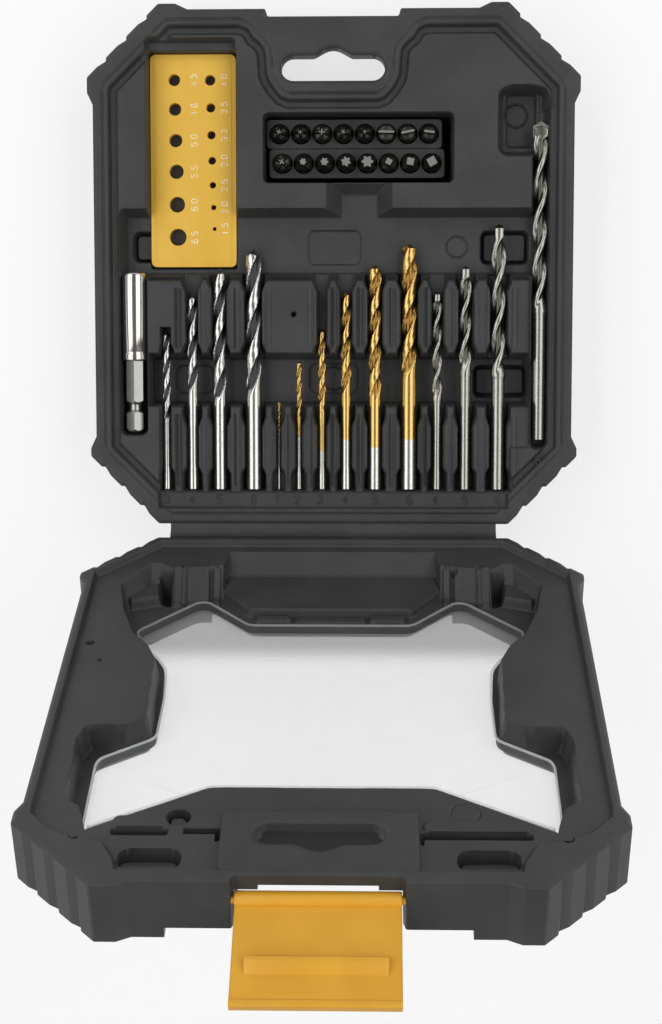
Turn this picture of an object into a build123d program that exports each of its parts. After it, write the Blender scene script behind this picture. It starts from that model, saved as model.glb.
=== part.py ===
from build123d import *

import math
import os
from collections import namedtuple

os.makedirs("parts", exist_ok=True)

# Drill bit case: a moulded tray and a windowed lid on one hinge web, closed by a swinging latch.
# The tray lies on its flat underside. Z is up, the hinge runs along X at the back, and the latch side
# faces -Y. The origin is the centre of the tray's underside.
#
# Both halves are drawn in the same coordinates. x runs across the case, u runs from the hinge axis
# towards the latch side, and the third direction stands on the plane where the two rims meet: up out
# of the tray, and outwards through the lid. Levels in the tray are depths below that plane.

# ---------------------------------------------------------------- case outline
HALF_WIDTH = 90.3
REAR_EDGE = 3.0
FRONT_EDGE = 195.8
TRAY_DEPTH = 28.0
LID_DEPTH = 18.5
LID_PAD = 4.0
LID_OPENS = 114.75
RIM_GAP = 0.15

BUMPER = 2.1
BUMPER_SLOPE = 4.5
FRONT_CUT = 27.0
REAR_CUT = 25.8
FRONT_SIDE_RUN = 5.6
REAR_SIDE_RUN = 3.0
FRONT_RUN = 6.4
NOTCHES = 3
NOTCH_DEPTH = 1.0
NOTCH_STEP = 0.6
NOTCH_RAMP = 4.0

LATCH_BAY_HALF = 24.5
LATCH_BAY_DEPTH = 2.8
LATCH_BAY_SLOPE = 0.8
LATCH_BAY_REACH = 162.0

# ---------------------------------------------------------------- rim of the tray
RIM_BAND = 7.65
GROOVE_WIDTH = 2.9
GROOVE_LEVEL = 3.2
STEP_WIDTH = 2.6
STEP_LEVEL = 0.8
PLATEAU_LEVEL = 1.2
FRONT_GROOVE_CUT = 21.7
REAR_GROOVE_CUT = 22.2
BAND_LEVEL = 2.5

# ---------------------------------------------------------------- hang slot
SLOT_LENGTH = 39.0
SLOT_WIDTH = 9.3
SLOT_FROM_HINGE = FRONT_EDGE - 21.8
SLOT_BUMP_HALF = 7.0
SLOT_BUMP_HEIGHT = 3.0
SLOT_LAND_HALF = 26.5
SLOT_LAND_REACH = SLOT_FROM_HINGE - 13.2

# ---------------------------------------------------------------- tray floors and pockets
DRILL_LEVEL = 6.0
TIP_LEVEL = 9.5
BAY_LEVEL = 12.0
MARK_DEPTH = 1.2
BAY_LEFT = 23.9 - HALF_WIDTH
BAY_RIGHT = HALF_WIDTH - 22.7
ROW_LEFT = 19.7 - HALF_WIDTH
ROW_RIGHT = HALF_WIDTH - 16.0
LOWER_ROW = (15.3, 47.6)
UPPER_ROW = (68.0, 95.2)
RIGHT_STEP = 32.0
ROW_LIP = 2.4
TIP_FLOOR = (96.0, 121.0)
REST_GAP = 0.25
SLOT_SIDE_GAP = 0.55
SLOT_FLARE = 1.4
LOWER_FLARE = (6.5, 2.8, 3.8, 4.0)
UPPER_FLARE = (0.6, 3.2, 0.6, 3.2)
NOTCH_END_GAP = 1.5
CLOSED_SLOT = "wood_drill_3mm"
LONG_DRILL_X = HALF_WIDTH - 12.1
LONG_CHANNEL = (31.5, 160.0)
POCKET_CORNER = 2.0
SMALL_CORNER = 1.0
ISLAND_EDGE = 0.6
SIDE_POCKET = ((LONG_DRILL_X - 16.4, LONG_DRILL_X + 2.8), (141.4, 167.2))
SIDE_POCKET_FLOOR = ((LONG_DRILL_X - 13.0, LONG_DRILL_X - 1.4), (145.2, 165.8))
FINGER_RECESS = ((13.8 - HALF_WIDTH, 21.3 - HALF_WIDTH), (102.5, 114.0))

# ---------------------------------------------------------------- drill gauge
GAUGE_WIDTH = 32.5
GAUGE_LENGTH = 79.8
GAUGE_THICKNESS = 4.0
GAUGE_CENTRE = (37.0 - HALF_WIDTH, 140.7)
GAUGE_LEVEL = 9.0
GAUGE_CORNER = 2.0
GAUGE_SIDE_GAP = 0.55
GAUGE_REAR_GAP = 1.2
GAUGE_FRONT_GAP = 0.6
GAUGE_POCKET = (
    (GAUGE_CENTRE[0] - GAUGE_WIDTH / 2 - GAUGE_SIDE_GAP, GAUGE_CENTRE[0] + GAUGE_WIDTH / 2 + GAUGE_SIDE_GAP),
    (GAUGE_CENTRE[1] - GAUGE_LENGTH / 2 - GAUGE_REAR_GAP, GAUGE_CENTRE[1] + GAUGE_LENGTH / 2 + GAUGE_FRONT_GAP))
GAUGE_SHELF = (
    (GAUGE_POCKET[0][0] - 0.7, GAUGE_POCKET[0][1] + 0.3),
    (GAUGE_POCKET[1][1] - 5.2, GAUGE_POCKET[1][1] + 4.6))
GAUGE_SHELF_LEVEL = 5.0
GaugeHole = namedtuple("GaugeHole", "size x u")
GAUGE_HOLES = (
    GaugeHole(4.5, -7.1, 30.4),
    GaugeHole(4.8, -6.9, 19.5),
    GaugeHole(5.0, -6.7, 7.8),
    GaugeHole(5.5, -6.5, -3.9),
    GaugeHole(6.0, -6.3, -16.3),
    GaugeHole(6.5, -6.1, -28.6),
    GaugeHole(4.0, 6.5, 30.3),
    GaugeHole(3.5, 6.7, 20.0),
    GaugeHole(3.2, 6.9, 9.8),
    GaugeHole(3.0, 7.1, 0.2),
    GaugeHole(2.5, 7.3, -9.0),
    GaugeHole(2.0, 7.6, -17.4),
    GaugeHole(1.5, 7.9, -25.5),
)

# ---------------------------------------------------------------- screwdriver bits and their strips
HEX_SIZE = 6.35
BIT_LENGTH = 25.0
BIT_TIP = 5.0
BIT_PITCH = 8.05
BITS_IN_STRIP = 8
BIT_BASE_LEVEL = 25.0
STRIP_LENGTH = 66.1
STRIP_WIDTH = 10.7
STRIP_TOP_LEVEL = 7.0
STRIP_FLOOR = 0.9
STRIP_GAP = 0.15
STRIP_CORNER = 1.2
STRIP_SHIFT = 0.5
STRIP_CENTRE_X = 8.4
STRIP_SEAM = 144.95
STRIP_POCKET = ((-26.0, 45.0), (132.0, 157.4))
STRIP_CHANNEL = ((-4.2, -1.0), (3.1, 9.5), (15.7, 9.5), (24.3, -1.0))
STRIP_CHANNEL_RUN = (119.0, 133.0)
SOCKET_RADIUS = 3.85
FIT_GAP = 0.15

# ---------------------------------------------------------------- magnetic bit holder
HOLDER_X = 14.4 - HALF_WIDTH
HOLDER_FRONT = 98.2
HOLDER_POCKET = ((HOLDER_X - 5.3, HOLDER_X + 5.3), (36.5, 98.5))
ROW_SPREAD = (LONG_DRILL_X - HOLDER_X) / 154.1
SLEEVE_RADIUS = 4.95
SLEEVE_LENGTH = 33.2
SLEEVE_SOCKET = 12.0
SOCKET_CLEARANCE = 0.1
MAGNET_RADIUS = 2.9
MAGNET_LENGTH = 3.0
SHANK_REAR = 37.8
SHANK_SUNK = 12.0
SHANK_GROOVE_RADIUS = 2.45
SHANK_GROOVE = (7.7, 11.5)
SHANK_END_BEVEL = 0.8

# ---------------------------------------------------------------- hinge web and latch
WEB_HALF_WIDTH = 62.0
WEB_THICKNESS = 0.8
WEB_GAP = 0.2
LATCH_HALF = 24.1
LATCH_PIVOT = (194.0, 8.9)
LATCH_BARREL = 2.5
LATCH_PLATE = (-1.9, 0.1)
LATCH_REACH = 33.6
LATCH_DROOP = 17.0
LATCH_RIB = ((18.7, 0.0), (19.1, 2.4), (21.0, 2.4), (24.0, 0.0))
LATCH_RIB_HALF = 20.3
LATCH_LIP = ((31.2, 0.0), (31.9, 1.1), (33.6, 1.1))
PIN_RADIUS = 1.3
PIN_LENGTH = 3.0
PIN_CLEARANCE = 0.08
TRAY_FLANGE = 9.5
LID_FLANGE = 6.1
BAR_DEPTH = 4.4
BAR_HALF = 17.4

# ---------------------------------------------------------------- lid
LID_RIM = 4.6
LEDGE_LEVEL = 2.5
WELL_LEVEL = 12.0
PANEL_LEVEL = 0.6
PANEL_HALF = 27.0
PANEL_FROM = 163.8
TROUGH_HALF = 38.7
TROUGH_STEPS = ((11.0, 5.0), (19.2, 7.5), (28.0, 9.8))
TROUGH_END = 47.0
LID_WELL = ((0, 11.0), (38.7, 11.0), (40.4, 20.4), (46.1, 21.8), (58.7, 23.6), (64.1, 19.1), (67.3, 19.1),
            (76.9, 32.8), (73.7, 40.0), (68.3, 64.3), (59.0, 80.3), (57.5, 87.5), (57.4, 112.6), (60.7, 118.0),
            (75.9, 118.2), (80.2, 122.5), (78.9, 156.4), (72.6, 167.3), (34.5, 147.4), (0, 147.4))
LID_OPENING = ((0, 46.5), (29.4, 46.5), (45.0, 31.3), (49.3, 31.3), (70.0, 51.0), (60.0, 62.0), (57.0, 72.0),
               (56.6, 108.0), (60.5, 116.0), (72.0, 124.0), (74.5, 127.5), (74.8, 161.0), (71.0, 166.0),
               (34.5, 147.8), (0, 147.8))
PANE_LEVEL = 15.6
PANE_THICKNESS = 1.3
PANE_WALL = 1.2
PANE_GAP = 0.15
PANE_SEAT = 2.2
PAD_FROM_MIDDLE = 45.0
PAD_LENGTH = 42.0
GRIP_RECESS = ((40.2, 59.9), (177.5, 187.3))
GRIP_DEPTH = 4.0

# ---------------------------------------------------------------- drills
Drill = namedtuple("Drill", "name kind size length flute end x")
DRILLS = (
    Drill("wood_drill_3mm", "wood", 3.0, 60.6, 34.4, 15.8, HOLDER_X + 12.1 * ROW_SPREAD),
    Drill("wood_drill_4mm", "wood", 4.0, 75.0, 38.0, 15.8, HOLDER_X + 22.1 * ROW_SPREAD),
    Drill("wood_drill_5mm", "wood", 5.0, 84.7, 51.6, 15.8, HOLDER_X + 32.5 * ROW_SPREAD),
    Drill("wood_drill_6mm", "wood", 6.0, 92.4, 57.0, 15.8, HOLDER_X + 45.5 * ROW_SPREAD),
    Drill("metal_drill_1mm", "metal", 1.0, 33.6, 11.5, 15.8, HOLDER_X + 55.1 * ROW_SPREAD),
    Drill("metal_drill_2mm", "metal", 2.0, 48.8, 21.5, 15.8, HOLDER_X + 62.8 * ROW_SPREAD),
    Drill("metal_drill_3mm", "metal", 3.0, 61.0, 31.0, 15.8, HOLDER_X + 71.6 * ROW_SPREAD),
    Drill("metal_drill_4mm", "metal", 4.0, 75.2, 39.5, 15.8, HOLDER_X + 80.8 * ROW_SPREAD),
    Drill("metal_drill_5mm", "metal", 5.0, 85.4, 51.0, 15.8, HOLDER_X + 91.8 * ROW_SPREAD),
    Drill("metal_drill_6mm", "metal", 6.0, 93.4, 51.0, 15.8, HOLDER_X + 104.8 * ROW_SPREAD),
    Drill("masonry_drill_4mm", "masonry", 4.0, 75.4, 41.0, 15.8, HOLDER_X + 115.5 * ROW_SPREAD),
    Drill("masonry_drill_5mm", "masonry", 5.0, 85.2, 41.0, 15.8, HOLDER_X + 126.2 * ROW_SPREAD),
    Drill("masonry_drill_6mm", "masonry", 6.0, 100.8, 57.5, 15.8, HOLDER_X + 138.7 * ROW_SPREAD),
    Drill("masonry_drill_6mm_long", "masonry", 6.0, 119.8, 71.5, 34.9, LONG_DRILL_X),
)
MASONRY_SHANK = 0.84
SHANK_RAMP = 1.5
POINT_SLOPE = 0.6
BRAD_POINT = (0.2, 0.5)
CARBIDE_SHARE = 0.26
CARBIDE_DEPTH = 0.95

Bit = namedtuple("Bit", "kind size")
UPPER_BITS = (Bit("cross", 5.0), Bit("cross", 4.2), Bit("cross", 6.0), Bit("cross", 5.0), Bit("cross", 4.2),
              Bit("slot", 6.0), Bit("slot", 5.0), Bit("slot", 4.0))
LOWER_BITS = (Bit("cross", 6.0), Bit("star", 2.8), Bit("star", 3.3), Bit("star", 3.9), Bit("star", 4.4),
              Bit("square", 2.3), Bit("square", 2.8), Bit("square", 3.3))

# ---------------------------------------------------------------- planes
hinge_point = (0, (REAR_EDGE + FRONT_EDGE) / 2, TRAY_DEPTH)
opens = math.radians(LID_OPENS)
tray_plane = Plane(origin=hinge_point, x_dir=(-1, 0, 0), z_dir=(0, 0, 1))
lid_plane = Plane(origin=hinge_point, x_dir=(-1, 0, 0), z_dir=(0, math.sin(opens), math.cos(opens)))


def tray_at(depth):
    """Plane at a depth below the plane of the rims."""
    return tray_plane.offset(-depth)


def along_u(plane, x, u, height):
    """Plane across the u direction at a point, with its normal pointing towards the latch side."""
    origin = plane.from_local_coords(Vector(x, u, height))
    return Plane(origin=origin, x_dir=plane.x_dir, z_dir=plane.y_dir)


def along_x(plane, x, u, height):
    """Plane across the case at a point: its own axes are u and the height over the rims."""
    origin = plane.from_local_coords(Vector(x, u, height))
    return Plane(origin=origin, x_dir=plane.y_dir, z_dir=plane.x_dir)


# ---------------------------------------------------------------- outlines
def bumper_edge(start, end):
    """Corner edge from start to end: flat lands, each ended by a sharp step in and a ramp back out."""
    run = (end[0] - start[0], end[1] - start[1])
    length = math.hypot(*run)
    along = (run[0] / length, run[1] / length)
    inward = (along[1], -along[0])
    pitch = length / (NOTCHES + 0.5)

    def point(distance, sunk):
        return (start[0] + along[0] * distance + inward[0] * sunk,
                start[1] + along[1] * distance + inward[1] * sunk)

    points = [start]
    for notch in range(NOTCHES):
        step = pitch * (notch + 0.57)
        points += [point(step, 0), point(step + NOTCH_STEP, NOTCH_DEPTH), point(step + NOTCH_STEP + NOTCH_RAMP, 0)]
    return points + [end]


def both_sides(points):
    """Closed loop from the points of its right half, mirrored to the left."""
    left = [(-x, u) for x, u in reversed(points) if x > 0]
    return list(points) + left


def case_outline():
    """Outer edge of both halves: straight sides, toothed corner bumpers and the latch bay in front."""
    side, front = HALF_WIDTH + BUMPER, FRONT_EDGE + BUMPER
    front_corner = (side - FRONT_CUT, front)
    side_corner = (side, front - FRONT_CUT)
    rear_side = (side, REAR_EDGE + REAR_CUT)
    rear_corner = (side - REAR_CUT, REAR_EDGE)
    return both_sides([
        (0, FRONT_EDGE - LATCH_BAY_DEPTH),
        (LATCH_BAY_HALF, FRONT_EDGE - LATCH_BAY_DEPTH),
        (LATCH_BAY_HALF + LATCH_BAY_SLOPE, FRONT_EDGE),
        (front_corner[0] - FRONT_RUN - BUMPER_SLOPE, FRONT_EDGE),
        (front_corner[0] - FRONT_RUN, front),
        *bumper_edge(front_corner, side_corner),
        (side, side_corner[1] - FRONT_SIDE_RUN),
        (HALF_WIDTH, side_corner[1] - FRONT_SIDE_RUN - BUMPER_SLOPE),
        (HALF_WIDTH, rear_side[1] + REAR_SIDE_RUN + BUMPER_SLOPE),
        (side, rear_side[1] + REAR_SIDE_RUN),
        *bumper_edge(rear_side, rear_corner),
        (0, REAR_EDGE),
    ])


def groove_line():
    """Middle of the groove inside the tray's rim, with its dip round the hang slot."""
    side, front, rear = HALF_WIDTH - RIM_BAND, FRONT_EDGE - RIM_BAND, REAR_EDGE + RIM_BAND
    return both_sides([
        (0, SLOT_LAND_REACH),
        (SLOT_LAND_HALF - 9.5, SLOT_LAND_REACH),
        (SLOT_LAND_HALF - 3.5, SLOT_LAND_REACH + 4.2),
        (SLOT_LAND_HALF, SLOT_LAND_REACH + 10.7),
        (SLOT_LAND_HALF + 0.8, SLOT_LAND_REACH + 19.7),
        (SLOT_LAND_HALF + 4.5, SLOT_LAND_REACH + 23.2),
        (SLOT_LAND_HALF + 8.0, front),
        (side - FRONT_GROOVE_CUT, front),
        (side, front - FRONT_GROOVE_CUT),
        (side, rear + REAR_GROOVE_CUT),
        (side - REAR_GROOVE_CUT, rear),
        (0, rear),
    ])


def face_on(plane, points, corner=0.0, grow=0.0):
    """Face on a plane inside a closed loop of points, grown by a margin, its corners rounded."""
    with BuildSketch(plane) as face:
        with BuildLine():
            Polyline(*points, close=True)
        make_face()
        if grow:
            offset(amount=grow, kind=Kind.INTERSECTION)
        if corner:
            fillet(face.vertices(), corner)
    return face.sketch


def box_on(plane, x_range, u_range, corner=0.0):
    """Rectangular face on a plane between two values of x and two of u."""
    loop = [(x_range[0], u_range[0]), (x_range[1], u_range[0]), (x_range[1], u_range[1]), (x_range[0], u_range[1])]
    return face_on(plane, loop, corner)


def slot_face(plane, narrow=0.0):
    """The hang slot: a long hole with round ends and a hump for a peg on its latch side."""
    half_width = SLOT_WIDTH / 2 - narrow
    hump = SLOT_BUMP_HALF - narrow
    with BuildSketch(plane) as face:
        with Locations((0, SLOT_FROM_HINGE)):
            SlotOverall(SLOT_LENGTH - 2 * narrow, 2 * half_width)
        with BuildLine():
            crown = SLOT_FROM_HINGE + half_width + SLOT_BUMP_HEIGHT
            ThreePointArc((-hump, SLOT_FROM_HINGE + half_width), (0, crown), (hump, SLOT_FROM_HINGE + half_width))
            Line((hump, SLOT_FROM_HINGE + half_width), (hump, SLOT_FROM_HINGE))
            Line((hump, SLOT_FROM_HINGE), (-hump, SLOT_FROM_HINGE))
            Line((-hump, SLOT_FROM_HINGE), (-hump, SLOT_FROM_HINGE + half_width))
        make_face()
    return face.sketch


def turned(plane, x, height, profile):
    """Solid turned about a line along u, from the outline of its upper half as (u, radius) points."""
    with BuildSketch(along_x(plane, x, 0, height)) as half:
        with BuildLine():
            Polyline(*profile, close=True)
        make_face()
    revolve(half.sketch, axis=Axis(plane.from_local_coords(Vector(x, 0, height)), plane.y_dir))


def along_case(plane, profile, x_from, x_to, mode=Mode.ADD):
    """Prism across the case, from its section as (u, height) points and the two values of x it spans."""
    with BuildSketch(along_x(plane, x_from, 0, 0)) as section:
        with BuildLine():
            Polyline(*profile, close=True)
        make_face()
    extrude(section.sketch, amount=x_to - x_from, mode=mode)


def cut(face, depth):
    """Cut a face's area away, from its plane out through the open side of the part."""
    extrude(face, amount=depth, mode=Mode.SUBTRACT)


# ---------------------------------------------------------------- tray
def drill_slot(drill, row, flare):
    """Plan of a drill's slot through a row of islands, wider at both ends, or None where it doesn't reach."""
    low, high = row
    tip = drill.end + drill.length
    if drill.end > high or tip < low:
        return None
    half = drill.size / 2 + SLOT_SIDE_GAP
    wide = half + SLOT_FLARE
    left, right = max(drill.x - wide, BAY_LEFT), min(drill.x + wide, BAY_RIGHT)
    rear_run, rear_taper, front_run, front_taper = flare
    start = low if drill.end > low else low - ROW_LIP - 1
    rear = [(left, start), (right, start), (right, low + rear_run), (drill.x + half, low + rear_run + rear_taper)]
    rear_left = [(drill.x - half, low + rear_run + rear_taper), (left, low + rear_run)]
    if drill.name == CLOSED_SLOT:
        end = tip + NOTCH_END_GAP
        return rear + [(drill.x + half, end), (drill.x - half, end)] + rear_left
    end = high + ROW_LIP + 1
    return rear + [(drill.x + half, high - front_run - front_taper), (right, high - front_run), (right, end),
                   (left, end), (left, high - front_run), (drill.x - half, high - front_run - front_taper)] + rear_left


def row_of_islands(row, rear_lip, front_lip, x_from, x_to):
    """Block that the islands are cut from: flat on top, sloped where it meets the lower floor."""
    low, high = row
    along_case(tray_plane, [(low, -BAND_LEVEL), (high, -BAND_LEVEL), (high + front_lip, -BAY_LEVEL),
                            (low - rear_lip, -BAY_LEVEL)], x_from, x_to)


inner_side = HALF_WIDTH - RIM_BAND - GROOVE_WIDTH / 2
band_rear = REAR_EDGE + RIM_BAND - GROOVE_WIDTH / 2
row_drills = [drill for drill in DRILLS if drill.end < LOWER_ROW[1] and drill.x < ROW_RIGHT]
long_drill = DRILLS[-1]
long_half = long_drill.size / 2 + SLOT_SIDE_GAP
strip_floor_level = BIT_BASE_LEVEL + FIT_GAP + STRIP_FLOOR + FIT_GAP

with BuildPart() as tray:
    extrude(face_on(tray_at(TRAY_DEPTH), case_outline()), amount=TRAY_DEPTH - RIM_GAP)
    # stepped rim: a low band, then a groove, then the raised floor inside it
    cut(face_on(tray_at(STEP_LEVEL), groove_line(), SMALL_CORNER, GROOVE_WIDTH / 2 + STEP_WIDTH), TRAY_DEPTH)
    cut(face_on(tray_at(GROOVE_LEVEL), groove_line(), SMALL_CORNER, GROOVE_WIDTH / 2), TRAY_DEPTH)
    extrude(face_on(tray_at(GROOVE_LEVEL), groove_line(), SMALL_CORNER, -GROOVE_WIDTH / 2),
            amount=GROOVE_LEVEL - PLATEAU_LEVEL)
    # the number band behind the drills
    extrude(box_on(tray_at(GROOVE_LEVEL), (BAY_LEFT, -BAY_LEFT), (band_rear, LOWER_ROW[0])),
            amount=GROOVE_LEVEL - BAND_LEVEL)
    cut(box_on(tray_at(BAND_LEVEL), (BAY_LEFT, -BAY_LEFT), (band_rear, LOWER_ROW[0] + 0.1)), TRAY_DEPTH)
    # the bay of the two rows of islands
    cut(box_on(tray_at(BAY_LEVEL), (BAY_LEFT, BAY_RIGHT), (LOWER_ROW[0], TIP_FLOOR[0] + 1)), TRAY_DEPTH)
    cut(box_on(tray_at(BAY_LEVEL), (BAY_RIGHT - 1, ROW_RIGHT), (RIGHT_STEP, TIP_FLOOR[0] + 1)), TRAY_DEPTH)
    cut(box_on(tray_at(BAY_LEVEL), (ROW_LEFT, BAY_LEFT + 1), (LOWER_ROW[1], TIP_FLOOR[0] + 1)), TRAY_DEPTH)
    # the floor that the drill tips reach over, with its channel up to the bits
    cut(box_on(tray_at(TIP_LEVEL), (-inner_side, inner_side), TIP_FLOOR, POCKET_CORNER), TRAY_DEPTH)
    channel_start, channel_end = STRIP_CHANNEL_RUN
    extrude(face_on(along_u(tray_plane, 0, channel_start, 0), STRIP_CHANNEL), amount=channel_end - channel_start,
            mode=Mode.SUBTRACT)
    # rows of islands, and the slots that the drills lie in
    row_of_islands(LOWER_ROW, 0, ROW_LIP / 2, BAY_LEFT, ROW_RIGHT)
    row_of_islands(UPPER_ROW, ROW_LIP, ROW_LIP / 2, ROW_LEFT, ROW_RIGHT)
    for drill in row_drills:
        floor = tray_at(DRILL_LEVEL + drill.size / 2 + REST_GAP)
        for row, flare in ((LOWER_ROW, LOWER_FLARE), (UPPER_ROW, UPPER_FLARE)):
            loop = drill_slot(drill, row, flare)
            if loop:
                cut(face_on(floor, loop), TRAY_DEPTH)
    long_floor = tray_at(DRILL_LEVEL + long_drill.size / 2 + REST_GAP)
    cut(box_on(long_floor, (long_drill.x - long_half, long_drill.x + long_half), LONG_CHANNEL, SMALL_CORNER), TRAY_DEPTH)
    cut(box_on(long_floor, *SIDE_POCKET, POCKET_CORNER), TRAY_DEPTH)
    cut(box_on(tray_at(BAY_LEVEL), *SIDE_POCKET_FLOOR, POCKET_CORNER), TRAY_DEPTH)
    # pockets for the holder, the gauge and the bit strips
    cut(box_on(tray_at(DRILL_LEVEL + SLEEVE_RADIUS + REST_GAP), *HOLDER_POCKET, POCKET_CORNER), TRAY_DEPTH)
    cut(box_on(tray_at(GAUGE_LEVEL + GAUGE_THICKNESS + REST_GAP), *GAUGE_POCKET, POCKET_CORNER), TRAY_DEPTH)
    cut(box_on(tray_at(GAUGE_SHELF_LEVEL), *GAUGE_SHELF, POCKET_CORNER), TRAY_DEPTH)
    cut(box_on(tray_at(BAY_LEVEL), *FINGER_RECESS, POCKET_CORNER), TRAY_DEPTH)
    cut(box_on(tray_at(strip_floor_level), *STRIP_POCKET, POCKET_CORNER), TRAY_DEPTH)
    # shallow marks moulded into the floors
    cut(box_on(tray_at(BAY_LEVEL + MARK_DEPTH), (BAY_LEFT + 5.5, BAY_LEFT + 20.1), (52.3, 63.4), POCKET_CORNER), TRAY_DEPTH)
    cut(box_on(tray_at(BAY_LEVEL + MARK_DEPTH), (-9.5, 9.4), (52.3, 64.2), POCKET_CORNER), TRAY_DEPTH)
    cut(box_on(tray_at(BAY_LEVEL + 2 * MARK_DEPTH), (ROW_RIGHT - 20.7, ROW_RIGHT - 0.1), (51.1, 63.2), POCKET_CORNER), TRAY_DEPTH)
    cut(box_on(tray_at(TIP_LEVEL + MARK_DEPTH), (-9.7, 10.5), (101.4, 114.7), POCKET_CORNER), TRAY_DEPTH)
    cut(box_on(tray_at(TIP_LEVEL + 2 * MARK_DEPTH), (ROW_RIGHT - 18.2, ROW_RIGHT - 0.1), (101.7, 114.2), POCKET_CORNER), TRAY_DEPTH)
    # hang slot, and the finger space under the front flange that the latch hooks behind
    cut(slot_face(tray_at(TRAY_DEPTH)), TRAY_DEPTH)
    cut(box_on(tray_at(TRAY_DEPTH), (-LATCH_BAY_HALF, LATCH_BAY_HALF), (LATCH_BAY_REACH, FRONT_EDGE)),
        TRAY_DEPTH - TRAY_FLANGE)

tray.part.label = "tray_shell"
export_step(tray.part, "parts/tray_shell.step")

# ---------------------------------------------------------------- lid
def corner_pads(plane):
    """Faces of the four pads that thicken the outside of the lid at its corners."""
    outer = HALF_WIDTH + BUMPER + 1
    front, rear = FRONT_EDGE + BUMPER + 1, REAR_EDGE - 1
    with BuildSketch(plane) as pads:
        with BuildLine():
            Polyline(*case_outline(), close=True)
        make_face()
        with BuildSketch(plane, mode=Mode.INTERSECT):
            for side in (-1, 1):
                x = side * (PAD_FROM_MIDDLE + outer) / 2
                with Locations((x, front - PAD_LENGTH / 2), (x, rear + PAD_LENGTH / 2)):
                    Rectangle(outer - PAD_FROM_MIDDLE, PAD_LENGTH)
    return pads.sketch


def lid_at(height):
    """Plane at a height through the lid, measured outwards from the plane of the rims."""
    return lid_plane.offset(height)


def lid_cut(face, height):
    """Cut a face's area out of the lid's inner side, from its plane back to the rims."""
    extrude(face, amount=-height, mode=Mode.SUBTRACT)


opening = both_sides(LID_OPENING)
pivot_u, pivot_height = LATCH_PIVOT

with BuildPart() as lid:
    extrude(face_on(lid_at(RIM_GAP), case_outline()), amount=LID_DEPTH - RIM_GAP)
    extrude(corner_pads(lid_at(LID_DEPTH)), amount=LID_PAD)
    # ledge inside the rim, and the raised panel round the hang slot
    inside = LID_RIM + GROOVE_WIDTH / 2
    lid_cut(face_on(lid_at(LEDGE_LEVEL), both_sides([
        (0, FRONT_EDGE - inside),
        (HALF_WIDTH - FRONT_GROOVE_CUT - inside, FRONT_EDGE - inside),
        (HALF_WIDTH - LID_RIM, FRONT_EDGE - FRONT_GROOVE_CUT - inside),
        (HALF_WIDTH - LID_RIM, REAR_EDGE + REAR_GROOVE_CUT + inside),
        (HALF_WIDTH - REAR_GROOVE_CUT - inside, REAR_EDGE + inside),
        (0, REAR_EDGE + inside),
    ])), LEDGE_LEVEL)
    extrude(box_on(lid_at(LEDGE_LEVEL), (-PANEL_HALF, PANEL_HALF), (PANEL_FROM, FRONT_EDGE - inside), POCKET_CORNER),
            amount=PANEL_LEVEL - LEDGE_LEVEL)
    # well, stepped trough along the hinge, and the opening for the window
    lid_cut(face_on(lid_at(WELL_LEVEL), both_sides(LID_WELL)), WELL_LEVEL)
    steps = TROUGH_STEPS + ((TROUGH_END, None),)
    for (start, level), (end, _) in zip(steps, steps[1:]):
        extrude(box_on(lid_at(WELL_LEVEL), (-TROUGH_HALF, TROUGH_HALF), (start, end)), amount=level - WELL_LEVEL)
    lid_cut(face_on(lid_at(LID_DEPTH), opening), LID_DEPTH)
    extrude(face_on(lid_at(PANE_LEVEL), opening, grow=PANE_SEAT + PANE_GAP), amount=LID_DEPTH, mode=Mode.SUBTRACT)
    # grip recesses, hang slot, and the bay that the latch swings in
    for side in (-1, 1):
        grip = sorted(side * x for x in GRIP_RECESS[0])
        lid_cut(box_on(lid_at(LEDGE_LEVEL + GRIP_DEPTH), grip, GRIP_RECESS[1], POCKET_CORNER), LID_DEPTH)
    lid_cut(slot_face(lid_at(LID_DEPTH)), LID_DEPTH)
    for half, level in ((LATCH_BAY_HALF, LID_FLANGE), (BAR_HALF, BAR_DEPTH)):
        extrude(box_on(lid_at(level), (-half, half), (LATCH_BAY_REACH, FRONT_EDGE)), amount=LID_DEPTH,
                mode=Mode.SUBTRACT)
    bore_reach = LATCH_HALF + PIN_LENGTH + FIT_GAP
    with BuildSketch(along_x(lid_plane, -bore_reach, pivot_u, pivot_height)) as bore:
        Circle(PIN_RADIUS + PIN_CLEARANCE)
    extrude(bore.sketch, amount=2 * bore_reach, mode=Mode.SUBTRACT)

lid.part.label = "lid_frame"
export_step(lid.part, "parts/lid_frame.step")

with BuildPart() as window:
    extrude(face_on(lid_at(PANE_LEVEL), opening, grow=PANE_SEAT), amount=PANE_THICKNESS)
    extrude(face_on(lid_at(WELL_LEVEL), opening, grow=-PANE_GAP), amount=PANE_LEVEL - WELL_LEVEL)
    extrude(face_on(lid_at(WELL_LEVEL), opening, grow=-PANE_GAP - PANE_WALL), amount=PANE_LEVEL - WELL_LEVEL,
            mode=Mode.SUBTRACT)

window.part.label = "lid_window"
export_step(window.part, "parts/lid_window.step")

# ---------------------------------------------------------------- hinge web
fold = math.radians(180 - LID_OPENS)
lid_u, lid_out = (-math.cos(fold), math.sin(fold)), (-math.sin(fold), -math.cos(fold))


def on_lid_edge(u, height):
    """Point of the lid's section, given along and out of the lid, in the tray's own section."""
    return (u * lid_u[0] + height * lid_out[0], u * lid_u[1] + height * lid_out[1])


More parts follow.
